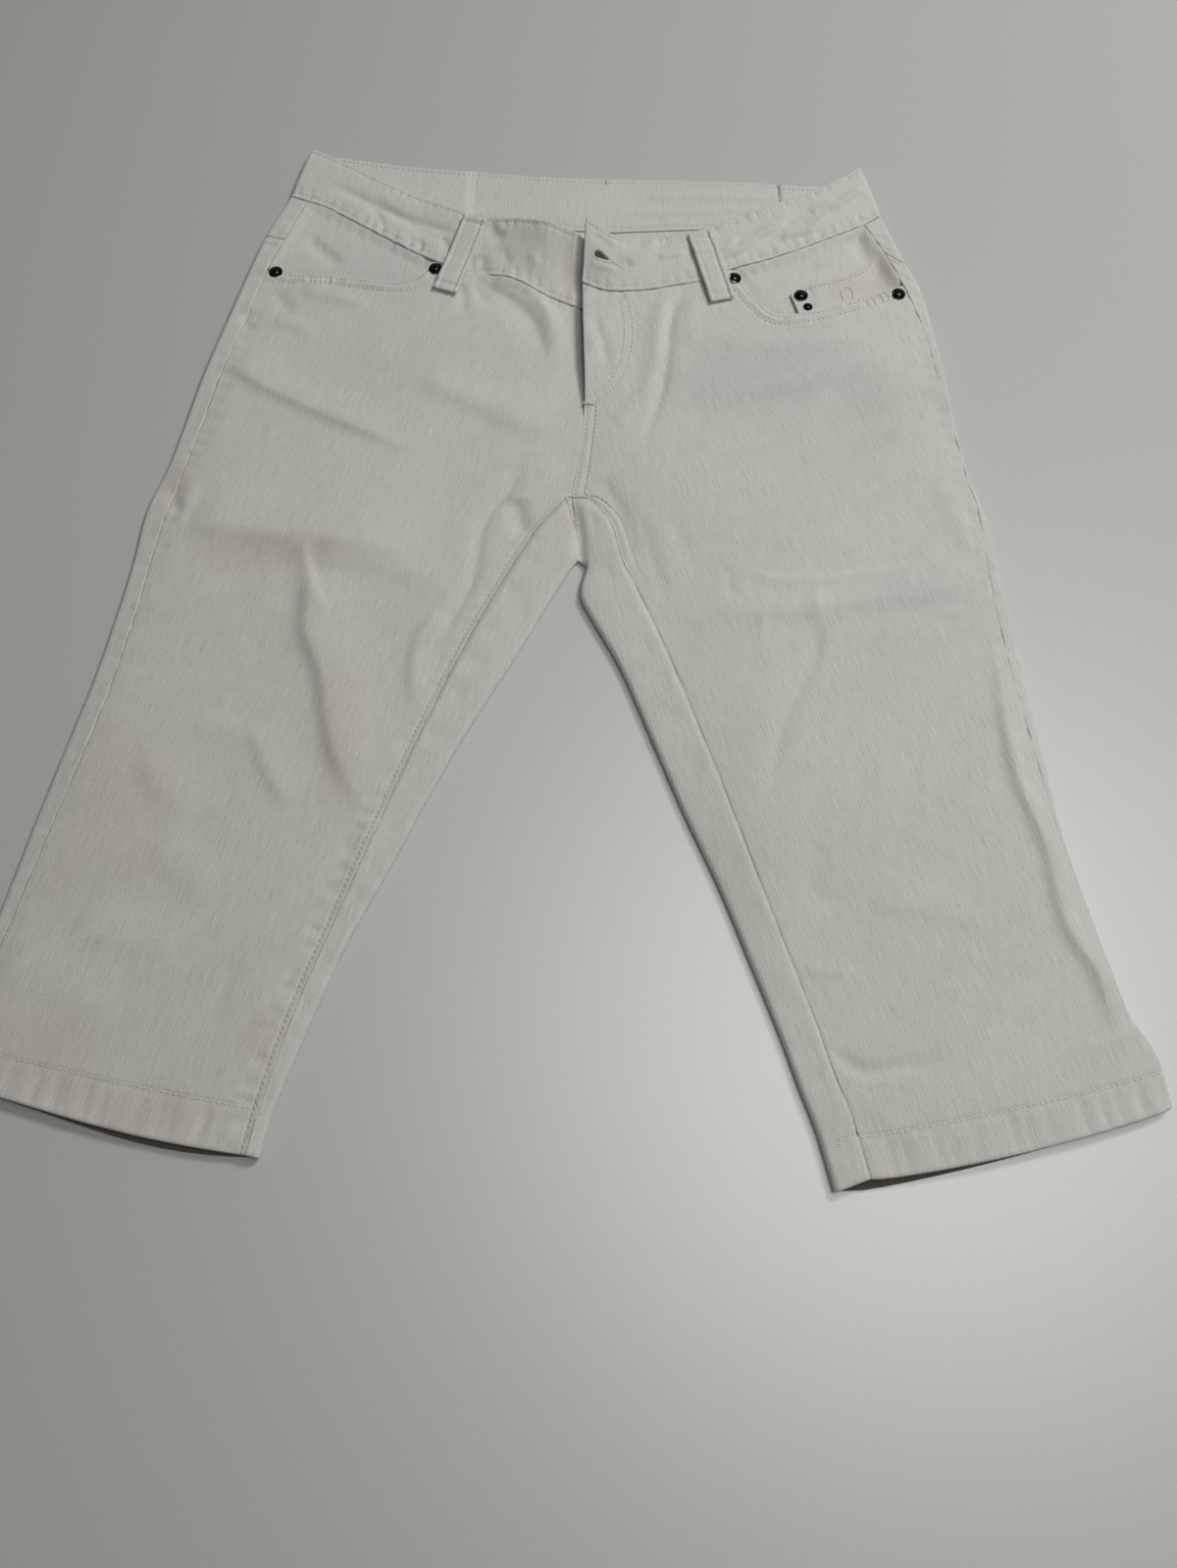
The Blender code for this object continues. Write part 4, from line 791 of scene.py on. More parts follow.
def inseam_roll(side, y):
    """The roll along an inseam, which is faint by the crotch and crisp down the left leg."""
    return SEAM_ROLL if side is RIGHT else 0.08 + 0.24 * ramp(-y, 0, 45)


def dips(offset):
    """How far cloth is drawn in at this distance from a row of stitches."""
    return -STITCH_DIP * bell(offset, DIP_REACH)


def puckers(offset, run, reach, pitch, depth, seed):
    """Small puckers that stand across a seam and fade away from it."""
    broad = ripples(run, offset * 0.15, pitch, seed)
    fine = ripples(run, offset * 0.1, pitch / 2, seed + 1)
    return depth * (broad + 0.5 * fine) * np.exp(-abs(offset) / reach)


def ticks(offset, run, near, far, pitch, width, depth, seed):
    """Short, uneven troughs that stand across a seam, from near to far off it."""
    random = np.random.default_rng(seed)
    run = np.asarray(run, float)
    places = np.arange(0, float(run.max()) + pitch, pitch)
    places = places + random.uniform(-0.32, 0.32, len(places)) * pitch
    depths = random.uniform(0.35, 1.0, len(places))
    total = np.zeros(np.broadcast(offset, run).shape)
    for place, share in zip(places, depths):
        total = total + share * bell(run - place, width)
    soft = (far - near) * 0.3
    starts, stops = ramp(offset, near - soft, near + soft), ramp(-offset, -far - soft, -far + soft)
    return -depth * total * starts * stops


# ---------------------------------------------------------------------------------------------
# Meshes

SURFACES = {}  # each cloth grid's points, by piece, for the stitches that lie on it


def on_grain(points, lean):
    """Where each point of a flat panel lies on its cut, whose grain leans by this many degrees."""
    c, s = math.cos(math.radians(lean)), math.sin(math.radians(lean))
    x, y = points[..., 0], -points[..., 1]
    return np.dstack([x * c - y * s, y * c + x * s])


def grid_mesh(points, skip=None, lean=None):
    """A bmesh of rows and columns of points, its faces turned out, with the cloth's own UV map."""
    rows, columns = points.shape[:2]
    mesh = bmesh.new()
    bmesh.ops.create_grid(mesh, x_segments=columns - 1, y_segments=rows - 1, size=1)
    for vertex, place in zip(mesh.verts, (points.reshape(-1, 3) - MIDDLE) * METRE):
        vertex.co = place
    fabric = cloth_places(points) if lean is None else on_grain(points, lean)
    fabric = (fabric * METRE).reshape(-1, 2)
    layer = mesh.loops.layers.uv.new("cloth")
    for face in mesh.faces:
        for loop in face.loops:
            loop[layer].uv = fabric[loop.vert.index]
    mesh.normal_update()
    mesh.faces.ensure_lookup_table()
    highest = max(mesh.faces, key=lambda face: face.calc_center_median().z)
    if highest.normal.z < 0:
        bmesh.ops.reverse_faces(mesh, faces=mesh.faces)
    if skip is not None:
        unwanted = [mesh.faces[i] for i in np.flatnonzero(skip)]
        bmesh.ops.delete(mesh, geom=unwanted, context="FACES")
    return mesh


def add_piece(name, mesh, surface, nodes=(), sharp=None):
    """An object of this bmesh that rides on the frame and stands for these solids."""
    data = bpy.data.meshes.new(name)
    mesh.to_mesh(data)
    mesh.free()
    data.shade_smooth()
    if sharp:
        data.set_sharp_from_angle(angle=math.radians(sharp))
    data.materials.append(surface)
    piece = bpy.data.objects.new(name, data)
    bpy.context.scene.collection.objects.link(piece)
    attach(piece, "root")
    if nodes:
        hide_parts(*nodes)
    return piece


def add_sheet(name, points, node, wall, hem=False, **cut):
    """A sheet of twill on a grid of points, thickened inwards, more so in a turned-up hem."""
    piece = add_piece(name, grid_mesh(points, **cut), twill(), [node])
    SURFACES[name] = points
    solid = piece.modifiers.new("wall", "SOLIDIFY")
    solid.thickness = (TURN_UP if hem else wall) * METRE
    solid.offset = -1
    solid.use_even_offset = True
    solid.use_quality_normals = True
    if hem:
        group = piece.vertex_groups.new(name="turn-up")
        low = wall / TURN_UP
        for index, share in enumerate(turn_up_share(points)):
            group.add([index], float(low + (1 - low) * share), "REPLACE")
        solid.vertex_group = group.name
    return piece


def turn_up_share(points):
    """1 within the turned-up hem at a grid's last row, and 0 above it, for each point."""
    middle = points[:, points.shape[1] // 2]
    up = lengths(middle)[-1] - lengths(middle)
    share = 1 - ramp(up, HEM_TURN - 1, HEM_TURN + 2)
    return np.repeat(share[:, None], points.shape[1], 1).ravel()


# ---------------------------------------------------------------------------------------------
# Materials


def math_operator(operation, turned=False):
    """An operator of Signal that adds a Math node. turned puts the signal second."""

    def made(signal, other):
        values = (other, signal) if turned else (signal, other)
        return signal.graph.maths(operation, *values)

    return made


class Signal:
    """A number that varies over a surface. Its operators add Math nodes."""

    def __init__(self, graph, socket):
        self.graph, self.socket = graph, socket

    __add__ = __radd__ = math_operator("ADD")
    __mul__ = __rmul__ = math_operator("MULTIPLY")
    __sub__ = math_operator("SUBTRACT")
    __rsub__ = math_operator("SUBTRACT", turned=True)
    __truediv__ = math_operator("DIVIDE")
    __pow__ = math_operator("POWER")


class Graph:
    """The nodes of one material."""

    def __init__(self, name):
        self.material = bpy.data.materials.new(name)
        self.material.use_nodes = True
        self.tree = self.material.node_tree
        self.shader = self.tree.nodes["Principled BSDF"]
        self.place = self.add("ShaderNodeTexCoord").outputs["Object"]

    def add(self, kind, settings=None, values=None):
        """A node of this type, its settings made first and then its sockets' values or links."""
        node = self.tree.nodes.new(kind)
        for key, setting in (settings or {}).items():
            setattr(node, key, setting)
        for key, value in (values or {}).items():
            self.feed(node.inputs[key], value)
        return node

    def feed(self, socket, value):
        if isinstance(value, Signal):
            value = value.socket
        if isinstance(value, bpy.types.NodeSocket):
            self.tree.links.new(value, socket)
        else:
            socket.default_value = value

    def maths(self, operation, *values):
        node = self.add("ShaderNodeMath", {"operation": operation}, dict(enumerate(values)))
        return Signal(self, node.outputs[0])

    def clamp(self, value):
        return Signal(self, self.add("ShaderNodeClamp", values={"Value": value}).outputs[0])

    def step(self, value, start, end):
        """0 before start, 1 past end, and a soft step between."""
        node = self.add(
            "ShaderNodeMapRange", {"interpolation_type": "SMOOTHSTEP"},
            {"Value": value, "From Min": start, "From Max": end},
        )
        return Signal(self, node.outputs[0])

    def vector(self, x, y, z=0.0):
        return self.add("ShaderNodeCombineXYZ", values={"X": x, "Y": y, "Z": z}).outputs[0]

    def parts(self, vector):
        node = self.add("ShaderNodeSeparateXYZ", values={"Vector": vector})
        return [Signal(self, socket) for socket in node.outputs]

    def noise(self, vector, scale=1.0, detail=2.0, roughness=0.5):
        node = self.add(
            "ShaderNodeTexNoise",
            values={"Vector": vector, "Scale": scale, "Detail": detail, "Roughness": roughness},
        )
        return Signal(self, node.outputs["Fac"])

    def blend(self, share, a, b, mode="MIX"):
        node = self.add(
            "ShaderNodeMix", {"data_type": "RGBA", "blend_type": mode, "clamp_factor": True},
            {0: share, 6: a, 7: b},
        )
        return node.outputs[2]

    def scaled(self, colour, share):
        values = {0: tuple(colour), "Scale": share}
        return self.add("ShaderNodeVectorMath", {"operation": "SCALE"}, values).outputs[0]

    def set(self, **values):
        """Values or links for the shader's sockets, named with _ for a space."""
        for key, value in values.items():
            self.feed(self.shader.inputs[key.replace("_", " ")], value)

    def bump(self, height, distance):
        values = {"Height": height, "Distance": distance, "Strength": 1.0}
        return self.add("ShaderNodeBump", values=values).outputs[0]


# Faint tints: place, reach across and up, tint and strength. The brown one under the flap is
# painted shade, the flap's shadow on the band and front.
StainAndShade = namedtuple("StainAndShade", "name place reach tint strength")
PINK, LILAC, GREEN = (0.80, 0.66, 0.64), (0.80, 0.78, 0.85), (0.80, 0.89, 0.86)
GREY, BROWN, BEIGE = (0.70, 0.69, 0.66), (0.66, 0.58, 0.46), (0.93, 0.90, 0.80)
STAINS_AND_SHADE = rows_of(
    StainAndShade,
    ("outer shin", (-245, -150), (42, 55), PINK, 0.16),
    ("right hem", (-285, -290), (50, 30), PINK, 0.24),
    ("hem middle", (-205, -322), (45, 16), PINK, 0.20),
    ("thigh ridge", (-175, 16), (45, 14), PINK, 0.30),
    ("side pinch", (-243, 66), (9, 16), PINK, 0.30),
    ("inner knee", (-122, -110), (12, 40), PINK, 0.22),
    ("near inseam", (-152, -282), (10, 16), PINK, 0.22),
    ("left hip", (150, 150), (70, 34), LILAC, 0.42),
    ("right pocket", (-120, 240), (60, 30), LILAC, 0.22),
    ("front crotch", (40, 62), (26, 60), GREEN, 0.42),
    ("left seat", (215, 110), (30, 34), GREEN, 0.40),
    ("left thigh", (226, -14), (34, 12), LILAC, 0.40),
    ("left thigh low", (205, -46), (26, 14), GREEN, 0.28),
    ("knee crease", (160, -40), (12, 22), GREEN, 0.40),
    ("left inseam", (84, -48), (26, 40), GREEN, 0.32),
    ("flap", (40, 240), (26, 18), GREEN, 0.45),
    ("fly", (66, 150), (12, 50), GREEN, 0.35),
    ("side strip", (262, 150), (14, 60), GREEN, 0.60),
    ("beside the fly", (-12, 172), (18, 30), GREY, 0.22),
    ("left inner strip", (104, -170), (26, 130), GREY, 0.16),
    ("pocket mouth", (228, 236), (9, 16), BROWN, 0.42),
    ("coin pocket", (200, 224), (26, 11), BEIGE, 0.45),
    # painted shadow of the flap, as a brown tint
    ("under the flap", (9, 236), (7, 26), BROWN, 0.22),
    ("crotch", (15, 40), (8, 14), BROWN, 0.25),
    ("calf", (-258, -196), (26, 14), GREY, 0.20),
)


def stained_and_shaded(graph, colour, strength):
    """The colour with the faint tints of the table above, the painted shade under the flap among
    them.
    """
    x, y, _ = graph.parts(graph.place)
    blur = graph.noise(graph.place, scale=26, detail=3)
    for stain_and_shade in STAINS_AND_SHADE:
        across = (x - (stain_and_shade.place[0] - MIDDLE[0]) * METRE) / (stain_and_shade.reach[0] * METRE)
        up = (y - (stain_and_shade.place[1] - MIDDLE[1]) * METRE) / (stain_and_shade.reach[1] * METRE)
        away = (across * across + up * up) ** 0.5 + (blur - 0.5) * 1.6
        share = (1 - graph.step(away, 0.1, 1.5)) * (stain_and_shade.strength * strength)
        colour = graph.blend(share, colour, (*stain_and_shade.tint, 1), "MULTIPLY")
    return colour


WALE_LEAN = 27  # degrees, from the cloth's length


def twill_material(name, cloth, tint=(1, 1, 1), stains_and_shade=True, lengthwise=1.0):
    """Off-white stretch twill: steep wales, lengthwise slubs, a little nap, and faint tints, among
    them painted shade under the flap.
    """
    graph = Graph(name)
    cut = graph.add("ShaderNodeUVMap", {"uv_map": "cloth"}).outputs[0]
    u, v, _ = graph.parts(cut)
    lean = math.radians(WALE_LEAN)
    wander = graph.noise(graph.vector(u * 260, v * 60), detail=1)
    phase = (u * math.cos(lean) + v * math.sin(lean)) * (math.tau / cloth.wale) + wander * 5
    wale = graph.maths("SINE", phase)
    patchy = graph.step(graph.noise(graph.vector(u * 90, v * 90, 3.0), detail=2), 0.35, 0.65)
    slub = graph.noise(graph.vector(u * 1150, v * 70, 1.0), detail=3, roughness=0.6)
    broad = graph.noise(graph.vector(u * 420, v * 26, 7.0), detail=2)
    weft = graph.noise(graph.vector(u * 90, v * 1000, 5.0), detail=2)
    nap = graph.noise(graph.vector(u * 1300, v * 1300), detail=2, roughness=0.7)
    height = (
        wale * (patchy * 0.025 + 0.012)
        + (slub - 0.5) * (cloth.slub * 1000 * lengthwise * 3.4)
        + (broad - 0.5) * (0.10 * lengthwise)
        + (weft - 0.5) * 0.07
        + (nap - 0.5) * 0.22
    )
    shade = (slub - 0.5) * (0.46 * lengthwise) + (broad - 0.5) * 0.10 + (weft - 0.5) * 0.10
    shade = shade + (nap - 0.5) * 0.62 + wale * 0.02
    patch = (graph.noise(graph.place, scale=9, detail=3) - 0.5) * 0.16
    tone = shade + patch + 1
    base = tuple(c * t for c, t in zip(cloth.colour, tint))
    colour = graph.scaled(base, tone)
    if stains_and_shade:
        colour = stained_and_shaded(graph, colour, cloth.stain_and_shade)
    graph.set(
        Base_Color=colour,
        Roughness=graph.clamp(0.06 * slub + (cloth.roughness - 0.03)),
        Normal=graph.bump(height, 0.001),
        Specular_IOR_Level=0.25,
        Sheen_Weight=0.12,
        Sheen_Roughness=0.5,
    )
    return graph.material


def thread_material(name, thread):
    """Twisted sewing thread."""
    graph = Graph(name)
    strands = graph.noise(graph.place, scale=1800, detail=2)
    tone = graph.noise(graph.place, scale=140, detail=1) * 0.16 + 0.92
    graph.set(
        Base_Color=graph.scaled(thread.colour, tone),
        Roughness=0.75,
        Normal=graph.bump(strands, 0.0001),
        Sheen_Weight=0.15,
    )
    return graph.material


def metal_material(name, metal):
    """Black nickel, a little worn in scattered patches."""
    graph = Graph(name)
    wear = graph.step(graph.noise(graph.place, scale=520, detail=3), 0.50, 0.72)
    colour = graph.blend(wear * 0.5, (*metal.colour, 1), (0.10, 0.10, 0.105, 1))
    scuffs = graph.noise(graph.place, scale=1500, detail=2)
    graph.set(
        Base_Color=colour,
        Metallic=1.0,
        Roughness=graph.clamp(wear * 0.14 + scuffs * 0.10 + 0.20),
        Normal=graph.bump(scuffs, 0.00003),
    )
    return graph.material


def tape_material(name, cloth):
    """The zip's woven tape."""
    return twill_material(name, cloth, tint=(0.98, 0.98, 0.96), stains_and_shade=False, lengthwise=0.3)


def painted_shade_inside_material(name, cloth):
    """The wrong side of the twill, darkened into painted shade where it shows in the depth of the
    legs.
    """
    return twill_material(name, cloth, tint=(0.20, 0.17, 0.115), stains_and_shade=False)


def material(kind, make, settings):
    """The one material of this kind, made the first time that it is asked for."""
    return bpy.data.materials.get(kind) or make(kind, settings)


def twill():
    return material("stretch twill", twill_material, bpy.context.scene.capri_cloth)


def thread():
    return material("sewing thread", thread_material, bpy.context.scene.capri_thread)


def dark_metal():
    return material("black nickel", metal_material, bpy.context.scene.capri_metal)


# ---------------------------------------------------------------------------------------------
# Front panels


def bowed(share, bow, middle, roundness):
    """How far a hem bows out at these shares of its length."""
    wave = np.sin(math.pi * share ** (math.log(0.5) / math.log(middle)))
    return bow * np.maximum(wave, 0) ** roundness


def scoop_line(side):
    return curve(side.scoop, 12)


def front_edges(side):
    """The front panel's edge from the side seam along the pocket opening and the waist seam."""
    seam = waist_line(side, "seam", np.linspace(POCKET_END, len(side.waist) - 1, 60))
    return np.vstack([scoop_line(side), seam[1:]])


def front_points(side):
    """The front panel's grid: rows from waist to hem, columns from the side seam inwards."""
    edge = front_edges(side)
    total = lengths(edge)[-1]
    zones = (total - CENTRE_ROWS[0], total - CENTRE_ROWS[1]) if side is LEFT else (total - 6,)
    top = walked(edge, spread(total, (*zones, *np.arange(*LADDERS[side.name], 5))))
    hip_rows = leg_places(side, "side", POCKET_ROW, SEAT_ROW, zones=SCOOP_ROWS, ends=(True, False))
    fly_at = np.linspace(0, SEAT_ROW, 800)
    fly_run = lengths(along(side, "front", fly_at))
    hip_run = lengths(along(side, "side", hip_rows))
    fly_rows = np.interp(hip_run / hip_run[-1] * fly_run[-1], fly_run, fly_at)
    last = len(side.sections) - 1
    leg_rows = leg_places(side, "side", SEAT_ROW, last, zones=(-HEM_TURN,), ends=(False, True))
    share = (lengths(top) / lengths(top)[-1])[None, :, None]
    legs = (
        along(side, "side", leg_rows)[:, None] * (1 - share)
        + along(side, "front", leg_rows)[:, None] * share
    )
    down = unit(legs[-1] - legs[-6])
    near_hem = ramp(leg_rows, last - 1.5, last)[:, None, None]
    legs = legs + near_hem * (bowed(share[0], *HEM_BOWS[side.name]) * down)[None]
    left, right = along(side, "side", hip_rows), along(side, "front", fly_rows)
    hip = coons(top, legs[0], left, right)
    plan = np.vstack([hip, legs[1:]])
    return np.dstack([plan, top_height(side, plan[..., 0], plan[..., 1])])


def front_relief(side, points):
    """What rolls, dips and rumples the front panel beyond its main folds."""
    x, y = points[..., 0], points[..., 1]
    from_side, from_centre, down, to_hem = from_edges(cloth_places(points))
    from_top = abs(from_line(front_edges(side), x, y)[0])
    above_fork = ramp(y, FLY_END_Y - 4, FLY_END_Y + 2)
    centre_roll = EDGE_ROLL * above_fork + inseam_roll(side, y) * (1 - above_fork)
    relief = lips(from_side, SEAM_ROLL) + lips(from_centre, centre_roll)
    relief += lips(from_top) * 0.8
    relief += dips(to_hem - HEM_TURN) - 0.7 * ramp(-to_hem, -1.6, 0)
    relief += puckers(to_hem - HEM_TURN, from_side, reach=7, pitch=9, depth=0.22, seed=11)
    seed = 12 if side is RIGHT else 13
    relief += ticks(to_hem, from_side, 2, HEM_TURN - 3, pitch=13, width=3.2, depth=1.15, seed=seed)
    scoop_gap, scoop_run = from_line(scoop_line(side), x, y)
    scoop_gap = abs(scoop_gap)
    in_scoop = ramp(scoop_run, 2, 12)
    short_of_end = scoop_run < lengths(scoop_line(side))[-1] - 1
    for row in SCOOP_ROWS:
        relief += dips(scoop_gap - row) * in_scoop * short_of_end
    welt = scoop_gap - WELT_MIDDLE
    relief += puckers(welt, scoop_run, reach=3.5, pitch=5, depth=0.5, seed=21) * in_scoop
    relief += 0.6 * bell(welt, 1.8) * in_scoop
    start, end = LADDERS[side.name]
    ladder = ramp(scoop_run, start - 3, start + 12) * ramp(-scoop_run, -end - 3, -end)
    rungs = ticks(scoop_gap, scoop_run, 2, 8.5, pitch=3.8, width=1.05, depth=1.5, seed=23)
    relief += rungs * ladder
    relief += puckers(from_side, down, reach=8, pitch=12, depth=0.34, seed=31)
    relief += puckers(from_side, down, reach=5, pitch=6, depth=0.3, seed=32) * ramp(y, -40, 80)
    side_ticks = ticks(from_side, down, 0, 9, pitch=11, width=2.6, depth=0.8, seed=33)
    relief += side_ticks * ramp(y, -60, 40)
    depth = 0.30 if side is RIGHT else 0.16
    relief += puckers(from_centre, down, reach=10, pitch=13, depth=depth, seed=41)
    if side is RIGHT:
        legs, shins = ramp(down, 150, 190), ramp(down, 300, 420)
        relief += dips(from_centre - INSEAM_ROW) * legs
        relief += INSEAM_RIDGE * bell(from_centre, INSEAM_RIDGE_REACH) * legs
        relief += ticks(from_centre, down, 4, 13, pitch=11.5, width=2.4, depth=1.0, seed=43) * shins
        relief += ticks(from_centre, down, 4, 10, pitch=9, width=2.0, depth=0.5, seed=44) * legs
    else:
        below_fly = ramp(-y, -FLY_END_Y + 2, -FLY_END_Y + 8)
        in_fork = ramp(y, -20, 30)
        for row in CENTRE_ROWS:
            relief += dips(from_centre - row) * below_fly * in_fork
        for line in fly_rows():
            gap, run = from_line(line, x, y)
            relief += dips(gap) * 0.9 + puckers(gap, run, reach=3, pitch=6, depth=0.4, seed=51)
    seam_gap, seam_run = from_line(front_edges(side)[len(scoop_line(side)) - 1 :], x, y)
    seam_gap = abs(seam_gap)
    seam_ticks = ticks(seam_gap, seam_run, 0, 8, pitch=8, width=1.8, depth=0.8, seed=47)
    relief += seam_ticks * (seam_gap < 20)
    near_edge = ramp(np.minimum(from_side, from_centre), 0, 14)
    grain = on_grain(points, side.hand * FRONT_LEAN)
    return relief + rumples(grain, 60 if side is RIGHT else 80) * (0.35 + 0.65 * near_edge)


def fly_rows():
    """The curved topstitching of the fly."""
    return [beside(curve(J_STITCH, 10), -row) for row in J_ROWS]


class CAPRI_OT_fronts(bpy.types.Operator):
    """Cut the two front panels, with their pocket openings, creases and turned-up hems"""

    bl_idname = "capri.fronts"
    bl_label = "Front panels"

    def execute(self, context):
        for side in SIDES:
            points = front_points(side)
            points[..., 2] += front_relief(side, points)
            name, node = f"front_{side.name}", f"leg_front_{side.name}"
            piece = add_sheet(name, points, node, CLOTH, hem=True, lean=side.hand * FRONT_LEAN)
        return {"FINISHED"}


# ---------------------------------------------------------------------------------------------
# Backs and yokes


def wrapped(edge, outward, seam, bulge, strip, fold, height):
    """Rows from a seam on top, over an edge fold, to the flat underside.

    edge, outward and seam hold a plan place or heading for each row, strip and fold count the
    columns of the two parts, and bulge is the fold's half width.
    """
    depth = ((edge - seam) * outward).sum(1)
    start = np.where(
        depth < bulge, np.arcsin(np.clip(1 - depth / bulge, -1, 1)), (bulge - depth) / bulge
    )[:, None]
    middle = np.maximum(0.0, start + 0.2 * (math.pi - start))
    first, second = np.linspace(0, 1, strip + 1)[None], np.linspace(0, 1, fold + 1)[None, 1:]
    turns = np.hstack([start + (middle - start) * first, middle + (math.pi - middle) * second])
    flat_start = edge - outward * bulge
    on_strip = turns < 0
    share = np.where(on_strip, 1 - turns / np.where(on_strip, start, -1), 0)[..., None]
    place = seam[:, None] + (flat_start - seam)[:, None] * share
    bent = edge[:, None] - outward[:, None] * (bulge * (1 - np.sin(turns)))[..., None]
    to_side = np.maximum(math.pi / 2 - start, 1e-6)
    pull = np.where(start > 0, np.clip(1 - (turns - start) / to_side, 0, 1), 0)
    bent = bent + (seam - edge + outward * depth[:, None])[:, None] * pull[..., None]
    place = np.where(on_strip[..., None], place, bent)
    full = height(place[..., 0], place[..., 1])
    z = full * (1 + np.cos(np.maximum(turns, 0))) / 2
    return np.dstack([place, z])


STRIP_COLUMNS, FOLD_COLUMNS, UNDER_COLUMNS = 7, 9, 14


def back_points(side, start, end, hem):
    """A back piece's grid: side seam, outer fold, underside, then the inner fold to the inseam."""
    zones = (-HEM_TURN,) if hem else ()
    upper = leg_places(side, "outer", start, min(end, CROTCH_ROW), ends=(True, False))
    places = upper
    if end > CROTCH_ROW:
        legs = leg_places(side, "outer", CROTCH_ROW, end, zones=zones, ends=(False, True))
        places = np.concatenate([upper, legs[1:]])
    outer, seam = along(side, "outer", places), along(side, "side", places)
    front, back = along(side, "front", places), along(side, "back", places)
    fine = np.linspace(0, len(side.sections) - 1, 40 * len(side.sections))
    outward = picked(headings(along(side, "outer", fine), side.hand), fine, places)

    height = partial(body_height, side)
    columns = (STRIP_COLUMNS, FOLD_COLUMNS)
    rows = wrapped(outer, unit(outward), seam, LEG_FOLD, *columns, height)
    legs = np.linspace(FORK_END_ROW, len(side.sections) - 1, 40 * len(side.sections))
    inward = picked(headings(along(side, "back", legs), -side.hand), legs, places)
    in_leg = np.clip((places - CROTCH_ROW) / (FORK_END_ROW - CROTCH_ROW), 0, 1)[:, None]
    inward = unit(inward * in_leg + np.array(DOWN) * (1 - in_leg))
    aside = np.array((side.hand * SEAM_GAP / 2, 0.0))
    below_fork = places >= CROTCH_ROW
    folds = wrapped(back, inward, front, LEG_FOLD, *columns, height)[:, ::-1]
    flat_end = np.where(below_fork[:, None], folds[:, 0, :2], back + aside)
    flat_end[:, 1] = np.minimum.accumulate(flat_end[:, 1])
    share = np.linspace(0, 1, UNDER_COLUMNS + 1)[None, 1:, None]
    under = rows[:, -1:, :2] * (1 - share) + flat_end[:, None] * share
    if hem:
        near_hem = ramp(places, len(side.sections) - 3, len(side.sections) - 1)[:, None]
        swell = near_hem * bowed(share[..., 0], *UNDER_BOWS[side.name])
        under = under + unit(under[-1, 0] - under[-6, 0]) * swell[..., None]
    under = np.dstack([under, np.zeros(under.shape[:2])])
    folds = np.where(below_fork[:, None, None], folds, under[:, -1:])
    points = np.hstack([rows, under, folds[:, 1:]])
    skip = np.zeros((len(places) - 1, points.shape[1] - 1), bool)
    skip[~below_fork[:-1], rows.shape[1] + UNDER_COLUMNS - 1 :] = True
    return points, skip


def back_relief(side, points, hem):
    """Rolls, dips and puckers on the strips of a back piece that turn up on top."""
    fabric = cloth_places(points)
    x, y, z = points[..., 0], points[..., 1], points[..., 2]
    up = ramp(z, 2.5, 5.0)
    from_side, from_inseam, down, to_hem = from_edges(fabric)
    relief = lips(from_side, SEAM_ROLL) + lips(down) * up + lips(from_inseam, inseam_roll(side, y))
    if side is RIGHT:
        relief += INSEAM_RIDGE * bell(from_inseam, INSEAM_RIDGE_REACH)
    relief += puckers(from_side, down, reach=9, pitch=11, depth=0.38, seed=101)
    relief += puckers(from_side, down, reach=6, pitch=6, depth=0.3, seed=102)
    relief += ticks(from_side, down, 0, 9, pitch=12, width=2.6, depth=0.6, seed=103)
    relief += puckers(from_inseam, down, reach=9, pitch=12, depth=0.30, seed=111)
    relief += ticks(from_inseam, down, 5, 16, pitch=26, width=5, depth=0.8, seed=113)
    if hem:
        relief += (dips(to_hem - HEM_TURN) - 0.6 * ramp(-to_hem, -1.6, 0)) * up
        for row in YOKE_ROWS:
            relief += dips(down - row)
        relief += 0.5 * bell(down - sum(YOKE_ROWS) / 2, 1.5)
    relief += rumples(fabric, 120) * 0.8
    lifted = sum(crease_height(crease, x * side.hand, y) for crease in UNDER_CREASES)
    return relief * up + lifted * (z == 0)


def back_surface(side, start, end, hem):
    points, skip = back_points(side, start, end, hem)
    points[..., 2] += back_relief(side, points, hem)
    return points, skip.ravel()


class CAPRI_OT_backs(bpy.types.Operator):
    """Cut the two back panels, which turn up on top at the side seams and inseams"""

    bl_idname = "capri.backs"
    bl_label = "Back panels"

    def execute(self, context):
        for side in SIDES:
            points, skip = back_surface(side, YOKE_ROW, len(side.sections) - 1, True)
            cut = {"hem": True, "skip": skip, "lean": side.hand * FRONT_LEAN}
            piece = add_sheet(f"back_{side.name}", points, f"leg_back_{side.name}", CLOTH, **cut)
            # The backs' inner faces get a dark copy of the twill: painted shade for the hem mouths.
            inside = material("twill inside", painted_shade_inside_material, context.scene.capri_cloth)
            piece.data.materials.append(inside)
            piece.modifiers["wall"].material_offset = 1
        return {"FINISHED"}


class CAPRI_OT_yokes(bpy.types.Operator):
    """Cut the two back yokes"""

    bl_idname = "capri.yokes"
    bl_label = "Yokes"

    def execute(self, context):
        for side in SIDES:
            points, skip = back_surface(side, 0, YOKE_ROW, False)
            name, node = f"yoke_back_{side.name}", f"yoke_{side.name}"
            piece = add_sheet(name, points, node, CLOTH, skip=skip)
        return {"FINISHED"}


# ---------------------------------------------------------------------------------------------
# Waistband


def band_foot(side, x):
    """Where the waistband's lower edge passes x under the garment, on the yoke's top line."""
    first = side.sections[0]
    start = np.array(first.outer, float) - (side.hand * LEG_FOLD, 0)
    end = np.array(first.back, float)
    return start + (end - start) * (x - start[0]) / (end[0] - start[0])


